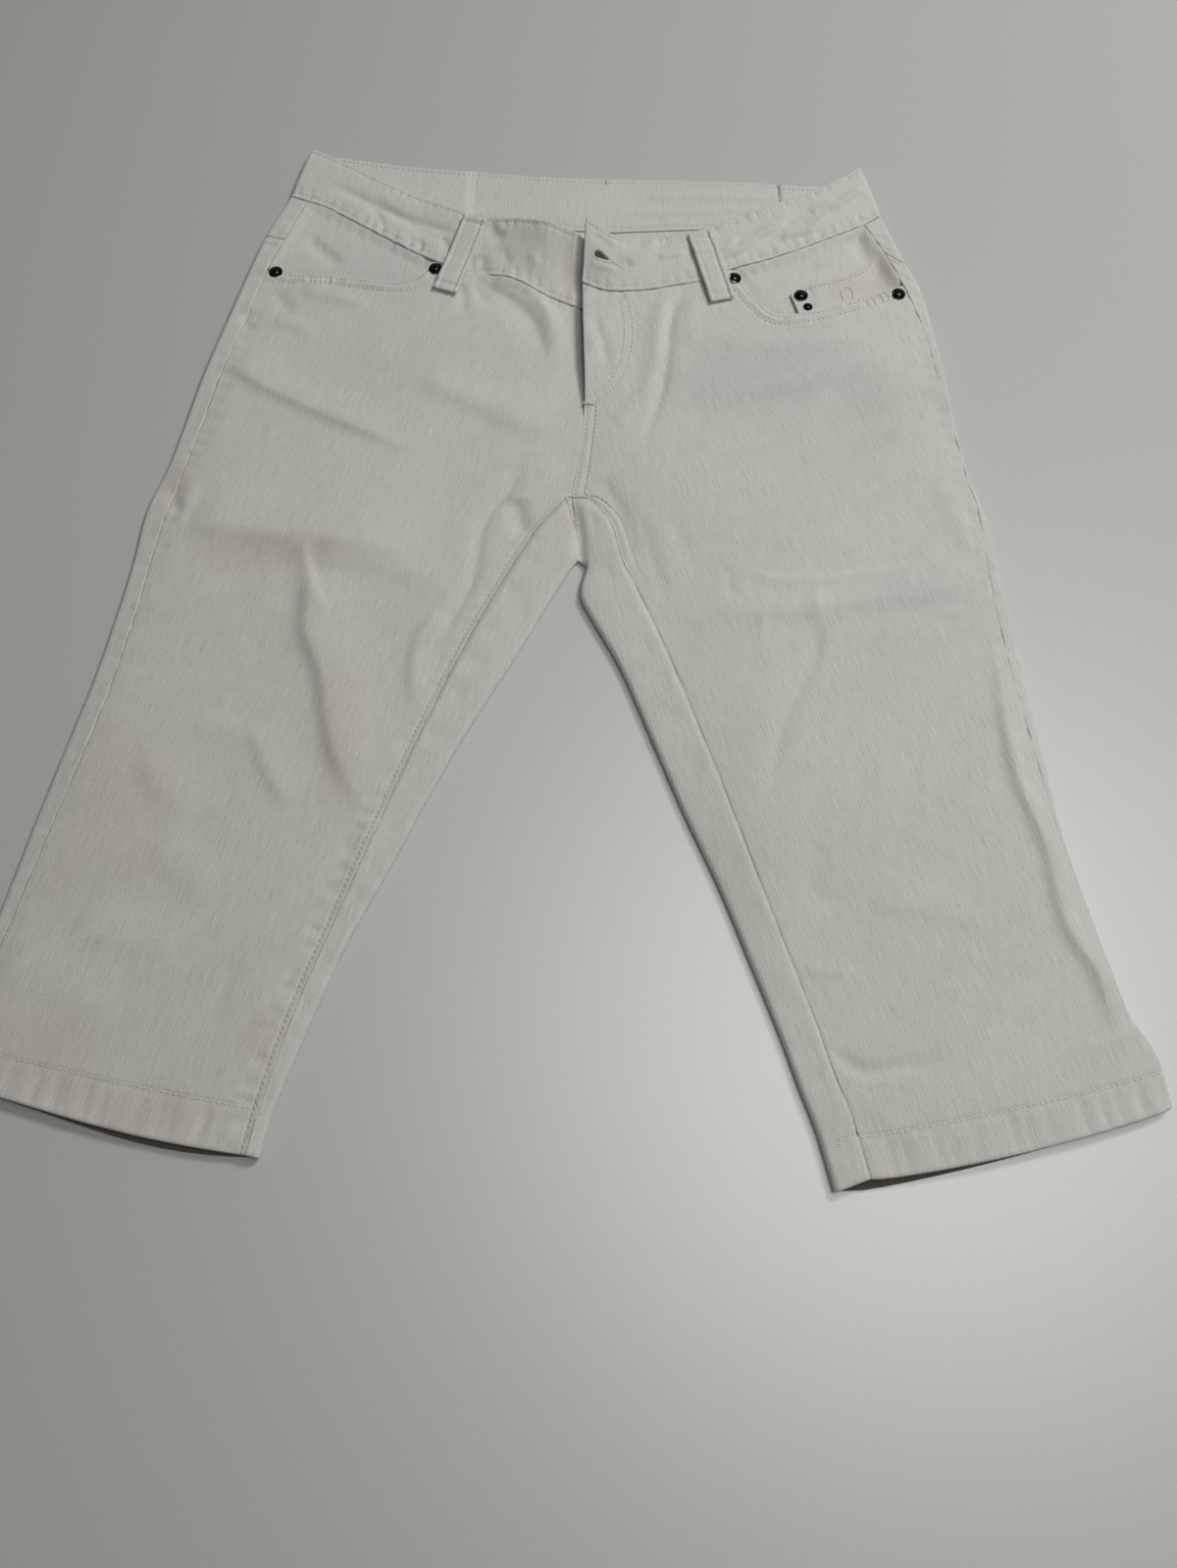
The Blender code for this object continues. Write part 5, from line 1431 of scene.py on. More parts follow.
def band_front_points(side):
    """The band's grid: rows from its lower edge up, columns from the centre front to the back."""
    at = np.linspace(len(side.waist) - 1, 0, 400)
    lower, upper = waist_line(side, "seam", at), waist_line(side, "top", at)
    if side is RIGHT:
        lower = np.vstack([[row.seam for row in TONGUE], lower])
        upper = np.vstack([[row.top for row in TONGUE], upper])
    run = lengths(lower)
    hole_columns, hole_rows = ((), ()) if side is RIGHT else ((8, 12, 16, 20), (20, 24))
    steps = spread(run[-1], hole_columns, ends=(True, False), step=BAND_STEP)
    lower, upper = picked(lower, run, steps), picked(upper, run, steps)
    shares = spread(BAND_HEIGHT, (*BAND_ROWS, *hole_rows), step=BAND_STEP) / BAND_HEIGHT
    edge_foot, edge_top = side.sections[0].outer, BAND_SIDE_TOP[side.name]
    rise = np.subtract(edge_top, edge_foot)
    outward = unit(np.array([-rise[1], rise[0]]) * -side.hand)
    seam_x = BACK_BAND_SEAM_X[0 if side is RIGHT else 1]
    level = shares[:, None, None]
    plan = lower[None] * (1 - level) + upper[None] * level

    height = partial(band_height, side)
    top = np.dstack([plan[:, :-1], height(plan[:, :-1, 0], plan[:, :-1, 1])])
    edge = np.array(edge_foot) * (1 - shares[:, None]) + np.array(edge_top) * shares[:, None]
    outwards = np.repeat(outward[None], len(shares), 0)
    fold = wrapped(edge, outwards, plan[:, -1], BAND_FOLD, 5, FOLD_COLUMNS, height)
    foot_start = np.array(edge_foot) - outward * BAND_FOLD
    reach = np.linspace(0, 1, UNDER_COLUMNS + 1)[1:]
    under_foot = foot_start + (band_foot(side, seam_x) - foot_start) * reach[:, None]
    under_top = smooth(side.under_top, reach * (len(side.under_top) - 1))
    under = under_foot[None] * (1 - level) + under_top[None] * level
    under = np.dstack([under, np.zeros(under.shape[:2])])
    return np.hstack([top, fold, under])


def band_relief(points):
    fabric = cloth_places(points.transpose(1, 0, 2)).transpose(1, 0, 2)
    up = np.repeat(lengths(points[:, points.shape[1] // 3])[:, None], points.shape[1], 1)
    up = up / up[-1] * BAND_HEIGHT
    run = fabric[..., 1]
    on_top = ramp(points[..., 2], 3.0, 6.0)
    relief = lips(up) + lips(BAND_HEIGHT - up) + lips(run) * 0.8
    for row in BAND_ROWS:
        relief += dips(up - row) + puckers(up - row, run, reach=3, pitch=7, depth=0.4, seed=131)
    relief += ticks(up, run, 1, 9, pitch=9, width=2.0, depth=1.0, seed=133)
    relief += ticks(BAND_HEIGHT - up, run, 1, 7, pitch=8, width=1.8, depth=0.7, seed=134)
    return (relief + 0.8 * rumples(np.dstack([run, up]), 140)) * on_top


def hole_half_width(distance):
    """Half the buttonhole's width at this distance from its middle: it narrows along its length."""
    length, width = BUTTONHOLE_SIZE
    return width / 2 * (1 - 0.62 * ramp(distance, -length * 0.3, length * 0.4))


def buttonhole_faces(points):
    """The grid faces whose middles lie within the buttonhole, which has round ends."""
    length, width = BUTTONHOLE_SIZE
    centre = (points[:-1, :-1, :2] + points[1:, 1:, :2]) / 2 - BUTTONHOLE_PLACE
    c, s = math.cos(math.radians(BUTTONHOLE_TURN)), math.sin(math.radians(BUTTONHOLE_TURN))
    x, y = centre[..., 0], centre[..., 1]
    along_slit, across = x * c + y * s, -x * s + y * c
    beyond = np.maximum(abs(along_slit) - (length - width) / 2, 0)
    return (np.hypot(beyond, across) < hole_half_width(along_slit)).ravel()


class CAPRI_OT_waistband(bpy.types.Operator):
    """Make the waistband: two fronts that turn round the sides, and the back one"""

    bl_idname = "capri.waistband"
    bl_label = "Waistband"

    def execute(self, context):
        for side in SIDES:
            points = band_front_points(side)
            points[..., 2] += band_relief(points)
            hole = buttonhole_faces(points) if side is LEFT else None
            name, node = f"band_{side.name}", f"waistband_front_{side.name}"
            piece = add_sheet(name, points, node, BAND, skip=hole)
        self.back_band()
        return {"FINISHED"}

    def back_band(self):
        """The back band lies with its outer face down, so its inner face shows."""
        left, right = BACK_BAND_SEAM_X
        foot = [band_foot(RIGHT, left), RIGHT.sections[0].back, band_foot(LEFT, right)]
        width = right - left
        x = left + spread(width, (8, 90))
        foot_y = np.interp(x, [p[0] for p in foot], [p[1] for p in foot])
        top = curve(BACK_BAND_TOP, 12)
        top_y = np.interp(x, top[:, 0], top[:, 1])
        shares = (spread(BAND_HEIGHT, BACK_BAND_ROWS) / BAND_HEIGHT)[:, None]
        y = foot_y[None] * (1 - shares) + top_y[None] * shares
        points = np.dstack([np.repeat(x[None], len(shares), 0), y, np.full(y.shape, BAND)])
        up = shares * BAND_HEIGHT
        run = x[None] - left
        relief = (lips(up) + lips(BAND_HEIGHT - up)) * 0.8
        relief = relief + lips(run, SEAM_ROLL) + lips(width - run, SEAM_ROLL)
        for row in BACK_BAND_ROWS:
            relief = relief + dips(up - row)
        for level, start in ((29, 0.52), (16, 0.45)):
            relief = relief + 0.9 * bell(up - level, 2.2) * ramp(run / width, start, start + 0.12)
        fabric = np.dstack([np.repeat(run, len(shares), 0), np.repeat(up, len(x), 1)])
        points[..., 2] += relief + 0.7 * rumples(fabric, 150)
        mesh = grid_mesh(points)
        lower = bmesh.ops.extrude_face_region(mesh, geom=mesh.faces[:])["geom"]
        for item in lower:
            if isinstance(item, bmesh.types.BMVert):
                item.co.z = 0.0
        bmesh.ops.recalc_face_normals(mesh, faces=mesh.faces)
        piece = add_piece("band_back", mesh, twill(), ["waistband_back"], sharp=70)
        SURFACES["band_back"] = points


# ---------------------------------------------------------------------------------------------
# Pockets and fly


def under_front(side, plan, layers, seed):
    """Points of a piece that lies this many layers under the front panel."""
    drop = layers * (CLOTH + LAYER_GAP)
    points = np.dstack([plan, top_height(side, plan[..., 0], plan[..., 1]) - drop])
    points[..., 2] += 0.8 * rumples(cloth_places(points), seed)
    return points


def facing_points(side, layers):
    """The cloth seen above a pocket opening, which laps under the front panel."""
    at = np.linspace(0, POCKET_END, 200)
    top_line = waist_line(side, "seam", at)
    steps = spread(lengths(top_line)[-1], ends=(True, False))
    top = walked(top_line, steps)
    scoop = scoop_line(side)
    foot = walked(scoop, steps / steps[-1] * lengths(scoop)[-1])
    lap = ramp(np.linspace(0, 1, len(foot)), 0, 0.2) * SCOOP_LAP
    foot = foot + np.column_stack([np.zeros_like(lap), -lap])
    foot[-1, 0] -= side.hand * SCOOP_LAP / 2
    rows = leg_places(side, "side", 0, POCKET_ROW, ends=(True, False))
    left = along(side, "side", rows)
    right = top[-1] + (foot[-1] - top[-1]) * (lengths(left) / lengths(left)[-1])[:, None]
    points = under_front(side, coons(top, foot, left, right), layers, 160)
    from_side, _, down, _ = from_edges(cloth_places(points))
    x, y = points[..., 0], points[..., 1]
    scoop_gap = from_line(scoop, x, y)[0]
    to_band = abs(from_line(top_line, x, y)[0])
    open_share = ramp(scoop_gap * -side.hand, -2, 4)
    sewn = np.maximum(1 - ramp(to_band, 0, 9), (1 - ramp(from_side, 0, 9)) * open_share)
    points[..., 2] += lips(from_side, SEAM_ROLL) - 0.8 * bell(scoop_gap, 5)
    points[..., 2] += layers * (CLOTH + LAYER_GAP) * 0.97 * sewn
    points[..., 2] += puckers(from_side, down, reach=8, pitch=12, depth=0.3, seed=171)
    points[..., 2] += ticks(to_band, from_side, 0, 8, pitch=9, width=2.0, depth=0.8, seed=173)
    return points


COIN_DEPTH = 27
COIN_ROW = 2.5  # its topstitching's distance from its edges


def coin_points():
    top = curve(COIN_TOP, 10)
    steps = spread(lengths(top)[-1])
    top = walked(top, steps)
    share = (steps / steps[-1])[:, None]
    foot = np.array(COIN_LEFT_FOOT) * (1 - share) + np.array(COIN_RIGHT_FOOT) * share
    rows = spread(COIN_DEPTH, (COIN_ROW, 7.5)) / COIN_DEPTH
    left = np.array(COIN_TOP[0]) + (np.array(COIN_LEFT_FOOT) - COIN_TOP[0]) * rows[:, None]
    right = np.array(COIN_TOP[-1]) + (np.array(COIN_RIGHT_FOOT) - COIN_TOP[-1]) * rows[:, None]
    points = under_front(LEFT, coons(top, foot, left, right), 1, 180)
    from_left, _, down, _ = from_edges(cloth_places(points))
    relief = lips(from_left) + lips(down) + dips(down - COIN_ROW) + dips(from_left - COIN_ROW)
    relief += 0.5 * (bell(down - 1.2, 0.9) + bell(from_left - 1.2, 0.9))
    fold = Crease("coin fold", -0.9, 3, 3, 1, ((173, 227), (176, 219), (175, 205)))
    relief += crease_height(fold, points[..., 0], points[..., 1])
    points[..., 2] += relief
    return points


def centre_line(side, y):
    """x of the centre front line at these heights up the garment."""
    line = along(side, "front", np.linspace(0, CROTCH_ROW, 60))[::-1]
    return np.interp(y, line[:, 1], line[:, 0])


def strip_points(x_start, x_end, y, height):
    """A strip's grid: rows down y, columns across from x_start to x_end, with one of each a row."""
    share = spread(float(np.mean(x_end - x_start)), step=2.0)
    share = (share / share[-1])[None]
    x = x_start[:, None] * (1 - share) + x_end[:, None] * share
    y = np.repeat(y[:, None], share.shape[1], 1)
    return np.dstack([x, y, height(x, y)])


class CAPRI_OT_pockets(bpy.types.Operator):
    """Make the pocket facings and the coin pocket"""

    bl_idname = "capri.pockets"
    bl_label = "Pockets"

    def execute(self, context):
        for side, layers in ((RIGHT, 1), (LEFT, 2)):
            name, node = f"facing_{side.name}", f"pocket_facing_{side.name}"
            piece = add_sheet(name, facing_points(side, layers), node, CLOTH)
        piece = add_sheet("coin_patch", coin_points(), "coin_pocket", CLOTH)
        return {"FINISHED"}


class CAPRI_OT_fly(bpy.types.Operator):
    """Make the fly's facing and shield"""

    bl_idname = "capri.fly"
    bl_label = "Fly and zip"

    def execute(self, context):
        y = FLY_TOP_Y - spread(FLY_TOP_Y - FLY_END_Y, step=3.0)
        outer = curve(J_STITCH, 10)[::-1]
        edge = np.interp(y, outer[:, 1], outer[:, 0])
        drop = CLOTH + 2 * LAYER_GAP
        facing = strip_points(
            centre_line(LEFT, y) + SEAM_GAP, edge, y, lambda a, b: top_height(LEFT, a, b) - drop
        )
        piece = add_sheet("fly_lining", facing, "fly_facing", CLOTH)
        top = SHIELD_TOP_Y + SHIELD_LAP
        y = top - spread(top - FLY_END_Y, step=3.0)
        start = centre_line(RIGHT, y) + SEAM_GAP
        edge = np.full(y.shape, SHIELD_EDGE_X)
        shield = strip_points(start, edge, y, partial(body_height, RIGHT))
        piece = add_sheet("fly_guard", shield, "fly_shield", CLOTH)
        return {"FINISHED"}


class CAPRI_OT_belt_loops(bpy.types.Operator):
    """Make the belt loops: folded strips with a raised edge on each side"""

    bl_idname = "capri.belt_loops"
    bl_label = "Belt loops"

    def execute(self, context):
        for node, side, top, foot in LOOPS:
            name = node.replace("belt_loop", "loop")
            piece = add_sheet(name, loop_points(side, top, foot), node, LOOP)
        return {"FINISHED"}


def loop_points(side, top, foot):
    """A belt loop's grid, arched a little over the band, its edges ridged and its ends pressed."""
    top, foot = np.array(top, float), np.array(foot, float)
    length = float(np.linalg.norm(foot - top))
    run = (foot - top) / length
    across = np.array([-run[1], run[0]])
    down = spread(length, (4, length - 4), step=1.6)
    rows = (LOOP_EDGE_ROW, LOOP_WIDTH - LOOP_EDGE_ROW)
    offsets = spread(LOOP_WIDTH, rows, step=1.2) - LOOP_WIDTH / 2
    plan = top + down[:, None, None] * run + offsets[None, :, None] * across
    base = band_height(side, plan[..., 0], plan[..., 1]) + LAYER_GAP + LOOP
    share = (down / length)[:, None]
    z = base.max(axis=1, keepdims=True) * 0.7 + base * 0.3 + 0.5 * np.sin(math.pi * share)
    from_edge = LOOP_WIDTH / 2 - abs(offsets)[None]
    z = z + 0.85 * bell(from_edge - 1.5, 1.2) + 1.1 * dips(from_edge - LOOP_EDGE_ROW)
    z = z + puckers(from_edge - 2, down[:, None], reach=3, pitch=7, depth=0.22, seed=191)
    z = z + lips(from_edge) + lips(down[:, None]) + lips(length - down[:, None])
    for end in (down[:, None] - 5, length - 6 - down[:, None]):
        z = z - 0.9 * bell(end, 1.2)
    return np.dstack([plan, z])


# ---------------------------------------------------------------------------------------------
# Metal


def turned_piece(profile):
    """A bmesh of a round piece, from (radius, height) pairs in mm, bottom to top."""
    mesh = bmesh.new()
    points = [mesh.verts.new((radius * METRE, 0, height * METRE)) for radius, height in profile]
    edges = [mesh.edges.new(pair) for pair in zip(points, points[1:])]
    bmesh.ops.spin(
        mesh, geom=points + edges, axis=(0, 0, 1), cent=(0, 0, 0), angle=math.tau, steps=40,
        use_merge=True,
    )
    bmesh.ops.remove_doubles(mesh, verts=mesh.verts, dist=1e-6)
    bmesh.ops.recalc_face_normals(mesh, faces=mesh.faces)
    return mesh


def laid_on(height, place, lift):
    """Where a flat-bottomed piece stands on a surface given as height(x, y), square to it."""
    x, y = (np.array([value], float) for value in place)
    reach = 3.0
    slope_x = float(((height(x + reach, y) - height(x - reach, y)) / (2 * reach))[0])
    slope_y = float(((height(x, y + reach) - height(x, y - reach)) / (2 * reach))[0])
    up = Vector((-slope_x, -slope_y, 1)).normalized()
    turn = Vector((0, 0, 1)).rotation_difference(up).to_matrix().to_4x4()
    spot = (np.array([place[0], place[1], float(height(x, y)[0]) + lift]) - MIDDLE) * METRE
    return Matrix.Translation(spot) @ turn


def rivet_profile(radius, height):
    """A washer with a rolled rim, a groove, and a dome with a small dimple."""
    rim = [
        (radius * (0.93 + 0.07 * math.cos(a)), height * (0.16 + 0.16 * math.sin(a)))
        for a in np.linspace(-math.pi / 2, math.pi * 0.6, 7)
    ]
    dome = [
        (radius * 0.66 * math.cos(a), height * (0.22 + 0.78 * math.sin(a)))
        for a in np.linspace(0, math.pi * 0.47, 9)
    ]
    return [(0, 0), *rim, (radius * 0.74, height * 0.20), *dome, (0, height * 0.97)]


class CAPRI_OT_rivets(bpy.types.Operator):
    """Set the rivets at the pocket corners and the button under the flap"""

    bl_idname = "capri.rivets"
    bl_label = "Rivets and button"

    def execute(self, context):
        metal = context.scene.capri_metal
        for node, side, place, share, layers in RIVETS:
            size = (metal.rivet_radius / METRE * share, metal.rivet_height / METRE * share)
            mesh = turned_piece(rivet_profile(*size))

            def ground(x, y):
                return top_height(side, x, y) - layers * (CLOTH + LAYER_GAP)

            mesh.transform(laid_on(ground, place, -0.1))
            name = node.replace("rivet", "stud")
            add_piece(name, mesh, dark_metal(), [node], sharp=40)
        button = turned_piece(BUTTON_PROFILE)
        button.transform(laid_on(partial(band_height, RIGHT), BUTTON_PLACE, 0.3))
        add_piece("fly_button", button, dark_metal(), ["waist_button"], sharp=40)
        return {"FINISHED"}


# ---------------------------------------------------------------------------------------------
# Stitches


def laid_line(piece, line):
    """A plan line raised onto a piece's finished surface."""
    points = SURFACES[piece]
    flat = points.reshape(-1, 3)
    tree = KDTree(len(flat))
    for index, place in enumerate(flat):
        tree.insert((place[0], place[1], 0), index)
    tree.balance()
    heights = []
    for x, y in line:
        found = tree.find_n((x, y, 0), 4)
        weights = np.array([1 / (gap + 0.05) for _, _, gap in found])
        heights.append(float((weights * [flat[i][2] for _, i, _ in found]).sum() / weights.sum()))
    return np.column_stack([line, heights])


class Sewer:
    """Collects stitches in one bmesh."""

    def __init__(self, settings):
        self.mesh = bmesh.new()
        self.pitch, self.width = settings.pitch / METRE, settings.width / METRE
        self.random = np.random.default_rng(7)

    def row(self, line, pitch=None, width=None, lift=0.18, share=0.62):
        """One row of stitches along a 3-D line in mm."""
        pitch, width = pitch or self.pitch, width or self.width
        line = np.asarray(line, float)
        total = lengths(line)[-1]
        count = max(1, int(total / pitch))
        starts = (np.arange(count) + 0.5) * total / count
        half = pitch * share / 2
        ends_a, ends_b = walked(line, starts - half), walked(line, starts + half)
        for a, b in zip(ends_a, ends_b):
            self.stitch(a, b, width, lift)

    def stitch(self, a, b, width, lift):
        run = Vector(b) - Vector(a)
        if run.length < 1e-6:
            return
        middle = (Vector(a) + Vector(b)) / 2 + Vector((0, 0, lift)) - Vector(MIDDLE)
        across = run.cross(Vector((0, 0, 1))).normalized()
        across = (across + Vector((0, 0, 0.15 * self.random.uniform(-1, 1)))).normalized()
        up = across.cross(run.normalized())
        size = run.length / 2 * self.random.uniform(0.94, 1.06)
        turn = Matrix((across * width / 2, up * width / 2.4, run.normalized() * size)).transposed()
        place = Matrix.Translation(middle * METRE) @ (turn * METRE).to_4x4()
        bmesh.ops.create_uvsphere(self.mesh, u_segments=6, v_segments=5, radius=1, matrix=place)

    def tack(self, middle, run, length, width=2.0, count=10):
        """A bar tack: close stitches side by side along a short bar."""
        middle, run = np.array(middle, float), unit(np.array([*run, 0.0]))
        across = np.array([-run[1], run[0], 0.0])
        for share in np.linspace(-0.5, 0.5, count):
            centre = middle + run * length * share
            self.stitch(centre - across * width / 2, centre + across * width / 2, 0.7, 0.25)

    def finish(self, name):
        return add_piece(name, self.mesh, thread())


def nearest_column(points, distance, from_end=False):
    """The column that lies this far from the first or last one, at a grid's middle row."""
    row = points[len(points) // 2]
    run = lengths(row)
    return int(abs((run[-1] - run if from_end else run) - distance).argmin())


def nearest_row(points, distance, column, from_end=True):
    """The same for the rows, measured down this column."""
    return nearest_column(points[:, column : column + 1].transpose(1, 0, 2), distance, from_end)


def band_row(points, level, column):
    """A waistband grid's row at this height up the band."""
    up = lengths(points[:, column])
    return points[int(abs(up / up[-1] * BAND_HEIGHT - level).argmin())]


class CAPRI_OT_stitches(bpy.types.Operator):
    """Sew the topstitching, hems and bar tacks"""

    bl_idname = "capri.stitches"
    bl_label = "Stitches"

    def execute(self, context):
        for sewn in (self.hems, self.pockets, self.fly, self.band, self.loops):
            sewn(Sewer(context.scene.capri_thread))
        return {"FINISHED"}

    def hems(self, sewer):
        for side in SIDES:
            for piece in (f"front_{side.name}", f"back_{side.name}"):
                points = SURFACES[piece]
                row = nearest_row(points, HEM_TURN, points.shape[1] // 2)
                sewer.row(points[row, 1:-1])
            for level in YOKE_ROWS:
                row = nearest_row(points, level, 1, from_end=False)
                sewer.row(points[row, 1 : STRIP_COLUMNS + FOLD_COLUMNS + UNDER_COLUMNS])
        points = SURFACES["front_right"]
        column = nearest_column(points, INSEAM_ROW, from_end=True)
        first = int(abs(points[:, column, 1] - 20).argmin())
        sewer.row(points[first:, column])
        sewer.finish("stitches_legs")

    def pockets(self, sewer):
        for side in SIDES:
            piece = f"front_{side.name}"
            scoop = scoop_line(side)
            for row in SCOOP_ROWS:
                line = beside(scoop, row * side.hand)
                line = walked(line, np.arange(9, lengths(line)[-1] - 1, 1.0))
                sewer.row(laid_line(piece, line))
        top = beside(curve(COIN_TOP, 10), -COIN_ROW)
        sewer.row(laid_line("coin_patch", walked(top, np.arange(8, lengths(top)[-1] - 6, 1.0))))
        sewer.row(laid_line("coin_patch", curve(COIN_TACK, 8)), pitch=1.3, width=1.1, share=0.95)
        sewer.finish("stitches_pockets")

    def fly(self, sewer):
        for line in fly_rows():
            sewer.row(laid_line("front_left", walked(line, np.arange(2, lengths(line)[-1], 1.0))))
        points = SURFACES["front_left"]
        for row in CENTRE_ROWS:
            line = points[:, nearest_column(points, row, from_end=True)]
            sewer.row(line[(line[:, 1] < FLY_END_Y - 3) & (line[:, 1] > 48)])
        sewer.tack((23.5, 127, 8.9), (1, -0.1), 7)
        corners = np.array(CROTCH_TACK, float)
        for a, b, piece in ((0, 1, "front_left"), (1, 2, "back_left"), (0, 2, "back_right")):
            line = corners[a] + (corners[b] - corners[a]) * np.linspace(0, 1, 12)[:, None]
            sewer.row(laid_line(piece, line), pitch=1.8, width=1.1, lift=0.4, share=0.9)
        sewer.finish("stitches_fly")

    def band(self, sewer):
        for side in SIDES:
            points = SURFACES[f"band_{side.name}"]
            for level in BAND_ROWS:
                line = band_row(points, level, points.shape[1] // 3)[1:]
                sewer.row(line[line[:, 2] > 3.5])
        self.buttonhole(sewer)
        for level in BACK_BAND_ROWS:
            sewer.row(band_row(SURFACES["band_back"], level, 40)[1:-1])
        for side in SIDES:
            line = smooth(side.under_top, np.linspace(0.2, len(side.under_top) - 1, 60)) - (0, 3)
            sewer.row(np.column_stack([line, np.full(len(line), BAND)]))
        sewer.row(((-130, 342, BAND), (-131, 334, BAND)))
        sewer.tack((37, 326.5, BAND), (0, 1), 3, width=3, count=5)
        sewer.finish("stitches_band")

    def buttonhole(self, sewer):
        """Close stitches round the slit, and the bar tack at its end."""
        c, s = math.cos(math.radians(BUTTONHOLE_TURN)), math.sin(math.radians(BUTTONHOLE_TURN))
        run, across = np.array([c, s]), np.array([-s, c])
        length, width = BUTTONHOLE_SIZE
        for distance in np.linspace(-length / 2, length / 2, 20):
            beyond = max(0.0, abs(distance) - (length - width) / 2) / (width / 2)
            half = float(hole_half_width(distance)) * math.sqrt(max(0.1, 1 - beyond**2))
            for hand in (-1, 1):
                near = np.array(BUTTONHOLE_PLACE) + run * distance + across * hand * half
                ends = laid_line("band_left", [near, near + across * hand * 1.8])
                sewer.stitch(*ends, 0.7, 0.1)
        for distance in np.linspace(0, 9, 7):
            start = np.array(BUTTONHOLE_PLACE) + run * (length / 2 + distance) - across * 0.5
            ends = laid_line("band_left", [start, start + across + run * 1.4])
            sewer.stitch(*ends, 0.9, 0.25)

    def loops(self, sewer):
        for node, *_ in LOOPS:
            points = SURFACES[node.replace("belt_loop", "loop")]
            for from_end in (False, True):
                sewer.row(points[:, nearest_column(points, LOOP_EDGE_ROW, from_end)])
        sewer.finish("stitches_loops")


# ---------------------------------------------------------------------------------------------
# Zip


class CAPRI_OT_zip(bpy.types.Operator):
    """Finish the zip behind the fly: its tape gets a weave, and its teeth clamp the tape's edge"""

    bl_idname = "capri.zip"
    bl_label = "Zip"

    def execute(self, context):
        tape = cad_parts["zip"].data
        tape.materials.clear()
        tape.materials.append(material("woven tape", tape_material, context.scene.capri_cloth))
        mesh = bmesh.new()
        for y in np.arange(ZIP_Y[0] + 2, ZIP_Y[1] - 2, ZIP_PITCH):
            x = max(ZIP_X[0], float(centre_line(RIGHT, y)) + SEAM_GAP)
            top = float(body_height(RIGHT, [x], [y], creases=False)[0]) + LAYER_GAP
            place = Matrix.Translation((np.array([x, y, top + CLOTH / 2]) - MIDDLE) * METRE)
            size = Matrix.Diagonal((*(value * METRE for value in ZIP_TOOTH), 1))
            bmesh.ops.create_cube(mesh, size=1, matrix=place @ size)
        bmesh.ops.bevel(
            mesh, geom=mesh.edges, affect="EDGES", offset=0.0002, segments=1, profile=0.5,
            material=-1,
        )
        add_piece("zip_teeth", mesh, dark_metal(), sharp=30)
        return {"FINISHED"}


# ---------------------------------------------------------------------------------------------
# Stage

CAMERA_PLACE = (0.0216, -0.3573, 0.620)
KEY_PLACE, KEY_SIZE = (1.30, 1.10, 1.70), 0.60
SOFT_PLACE, SOFT_SIZE, SOFT_SHARE = (0.50, -0.22, 1.3), 0.80, 0.14
# This lamp shows only in the table's gloss
GLOSS_PLACE, GLOSS_SIZE, GLOSS_SHARE = (0.46, -0.06, 1.3), 1.2, 0.81
FLOOR_REACH = 3.0
FLOOR_DROP = 0.0003


def floor_material(stage):
    """A matt, pale table top with the faintest mottle."""
    graph = Graph("table top")
    tone = graph.noise(graph.place, scale=800, detail=2) * 0.12 + 0.94
    colour = graph.scaled(stage.floor_colour, tone)
    grain = graph.noise(graph.place, scale=900, detail=2)
    graph.set(
        Base_Color=colour,
        Roughness=0.45,
        Specular_IOR_Level=0.8,
        Normal=graph.bump(grain, 0.00003),
    )
    return graph.material


def aimed(place, target):
    """A turn that points an object's -Z from place to target."""
    return (Vector(target) - Vector(place)).to_track_quat("-Z", "Y").to_euler()


def area_light(name, place, size, power, colour):
    light = bpy.data.lights.new(name, "AREA")
    light.shape, light.size, light.energy, light.color = "DISK", size, power, colour
    lamp = bpy.data.objects.new(name, light)
    lamp.location, lamp.rotation_euler = place, aimed(place, (0, 0, 0))
    bpy.context.scene.collection.objects.link(lamp)
    return lamp


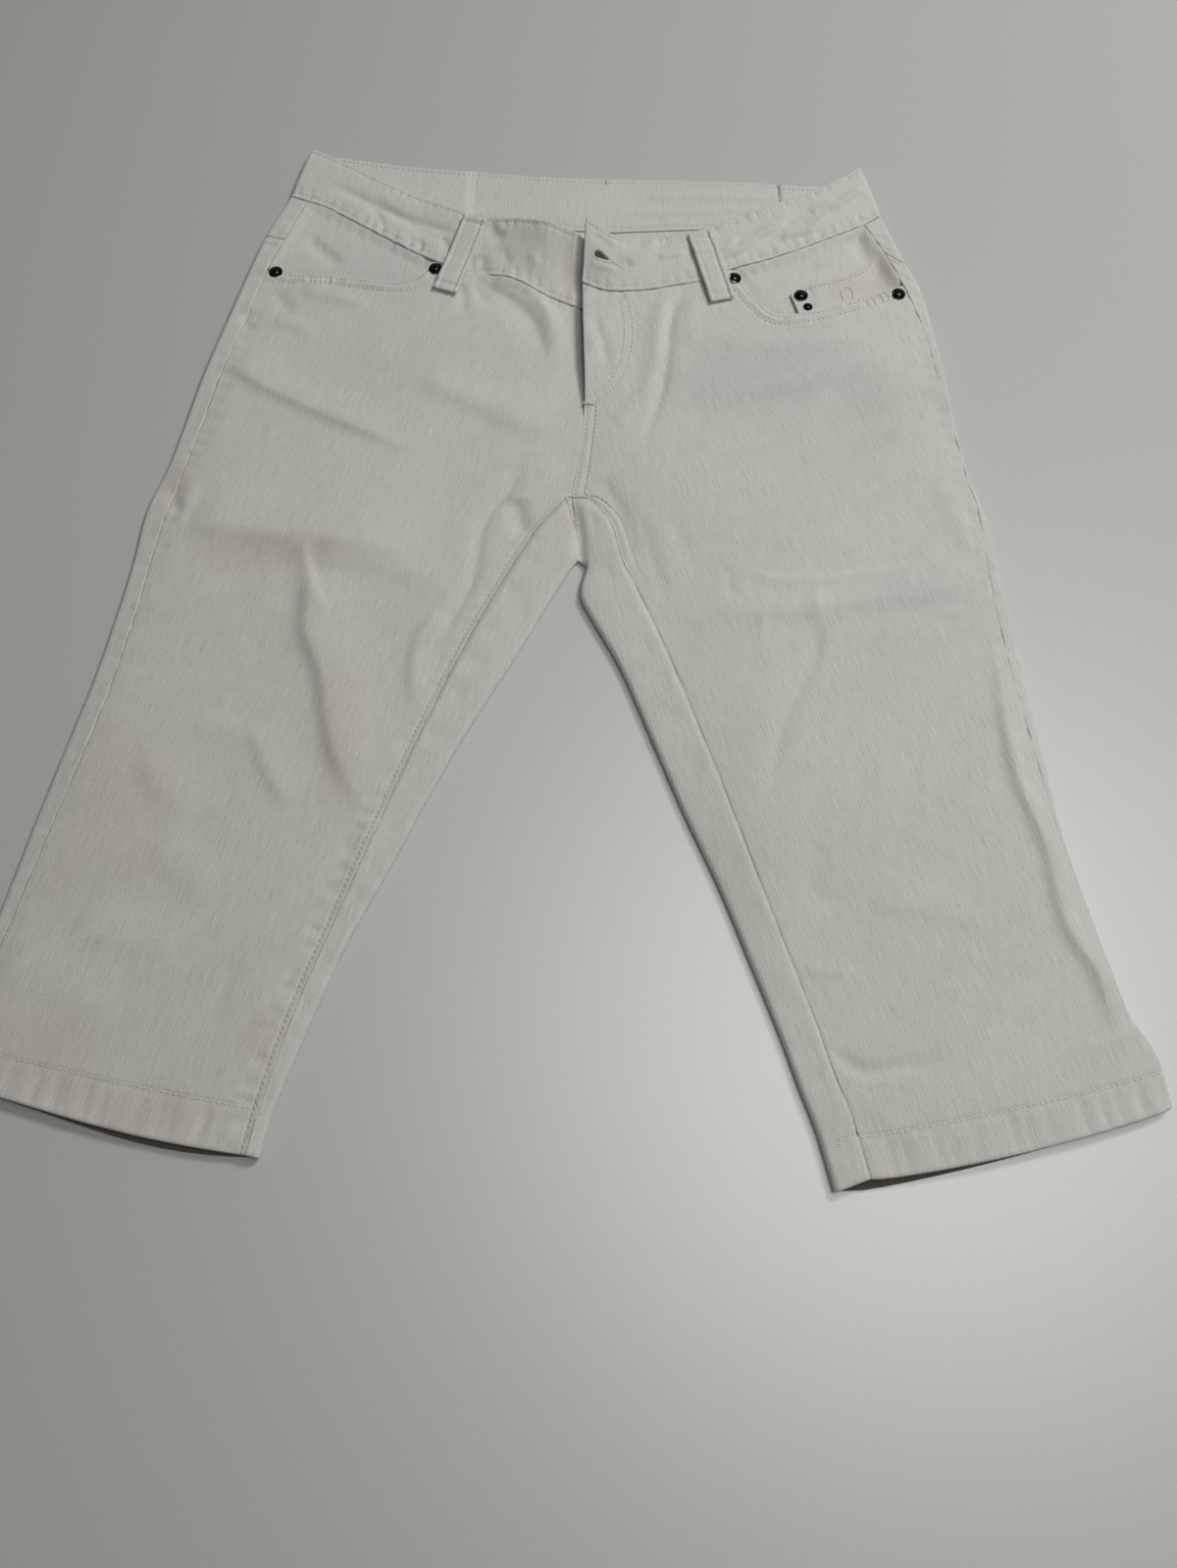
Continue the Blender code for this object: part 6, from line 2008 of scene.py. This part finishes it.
class CAPRI_OT_stage(bpy.types.Operator):
    """Lay out the table, the lights and the camera"""

    bl_idname = "capri.stage"
    bl_label = "Table, lights and camera"

    def execute(self, context):
        stage = context.scene.capri_stage
        mesh = bmesh.new()
        bmesh.ops.create_grid(mesh, x_segments=1, y_segments=1, size=FLOOR_REACH)
        bmesh.ops.translate(mesh, verts=mesh.verts, vec=(0, 0, -FLOOR_DROP))
        data = bpy.data.meshes.new("table")
        mesh.to_mesh(data)
        mesh.free()
        data.materials.append(floor_material(stage))
        table = bpy.data.objects.new("table", data)
        context.scene.collection.objects.link(table)
        power = stage.key_power
        key = area_light("key", KEY_PLACE, KEY_SIZE, power, (1.0, 0.985, 0.95))
        key.visible_glossy = False
        area_light("soft", SOFT_PLACE, SOFT_SIZE, power * SOFT_SHARE, (0.95, 1.0, 0.97))
        gloss_power = power * GLOSS_SHARE
        gloss = area_light("gloss", GLOSS_PLACE, GLOSS_SIZE, gloss_power, (0.97, 1.0, 0.98))
        gloss.visible_diffuse = False
        context.scene.view_settings.view_transform = "Standard"
        world = bpy.data.worlds.new("room")
        context.scene.world = world
        world.use_nodes = True
        sky = world.node_tree.nodes["Background"]
        sky.inputs["Color"].default_value = (1.0, 0.98, 0.95, 1)
        sky.inputs["Strength"].default_value = stage.fill
        lens = bpy.data.cameras.new("camera")
        lens.lens, lens.sensor_width, lens.sensor_fit = stage.lens, 36, "AUTO"
        camera = bpy.data.objects.new("camera", lens)
        camera.location, camera.rotation_euler = CAMERA_PLACE, (stage.tilt, 0, 0)
        context.scene.collection.objects.link(camera)
        context.scene.camera = camera
        return {"FINISHED"}


# ---------------------------------------------------------------------------------------------
# The add-on

OPERATORS = (
    CAPRI_OT_backs,
    CAPRI_OT_yokes,
    CAPRI_OT_fronts,
    CAPRI_OT_waistband,
    CAPRI_OT_pockets,
    CAPRI_OT_fly,
    CAPRI_OT_zip,
    CAPRI_OT_belt_loops,
    CAPRI_OT_rivets,
    CAPRI_OT_stitches,
    CAPRI_OT_stage,
)
SETTINGS = {
    "capri_cloth": ClothSizes,
    "capri_thread": ThreadSizes,
    "capri_metal": MetalSizes,
    "capri_stage": StageSizes,
}


class CAPRI_PT_maker(bpy.types.Panel):
    """The settings and the makers of every piece"""

    bl_idname = "CAPRI_PT_maker"
    bl_label = "Capri pants"
    bl_space_type = "VIEW_3D"
    bl_region_type = "UI"
    bl_category = "Capri pants"

    def draw(self, context):
        for name in SETTINGS:
            box = self.layout.box()
            box.label(text=name.replace("capri_", "").capitalize())
            for key in SETTINGS[name].__annotations__:
                box.prop(getattr(context.scene, name), key)
        for operator in OPERATORS:
            self.layout.operator(operator.bl_idname)


def register():
    for group in SETTINGS.values():
        bpy.utils.register_class(group)
    for name, group in SETTINGS.items():
        setattr(bpy.types.Scene, name, PointerProperty(type=group))
    for operator in (*OPERATORS, CAPRI_PT_maker):
        bpy.utils.register_class(operator)


def unregister():
    for operator in (CAPRI_PT_maker, *reversed(OPERATORS)):
        bpy.utils.unregister_class(operator)
    for name, group in SETTINGS.items():
        delattr(bpy.types.Scene, name)
        bpy.utils.unregister_class(group)


def main():
    register()
    for operator in OPERATORS:
        group, name = operator.bl_idname.split(".")
        getattr(getattr(bpy.ops, group), name)()


if __name__ == "__main__":
    main()
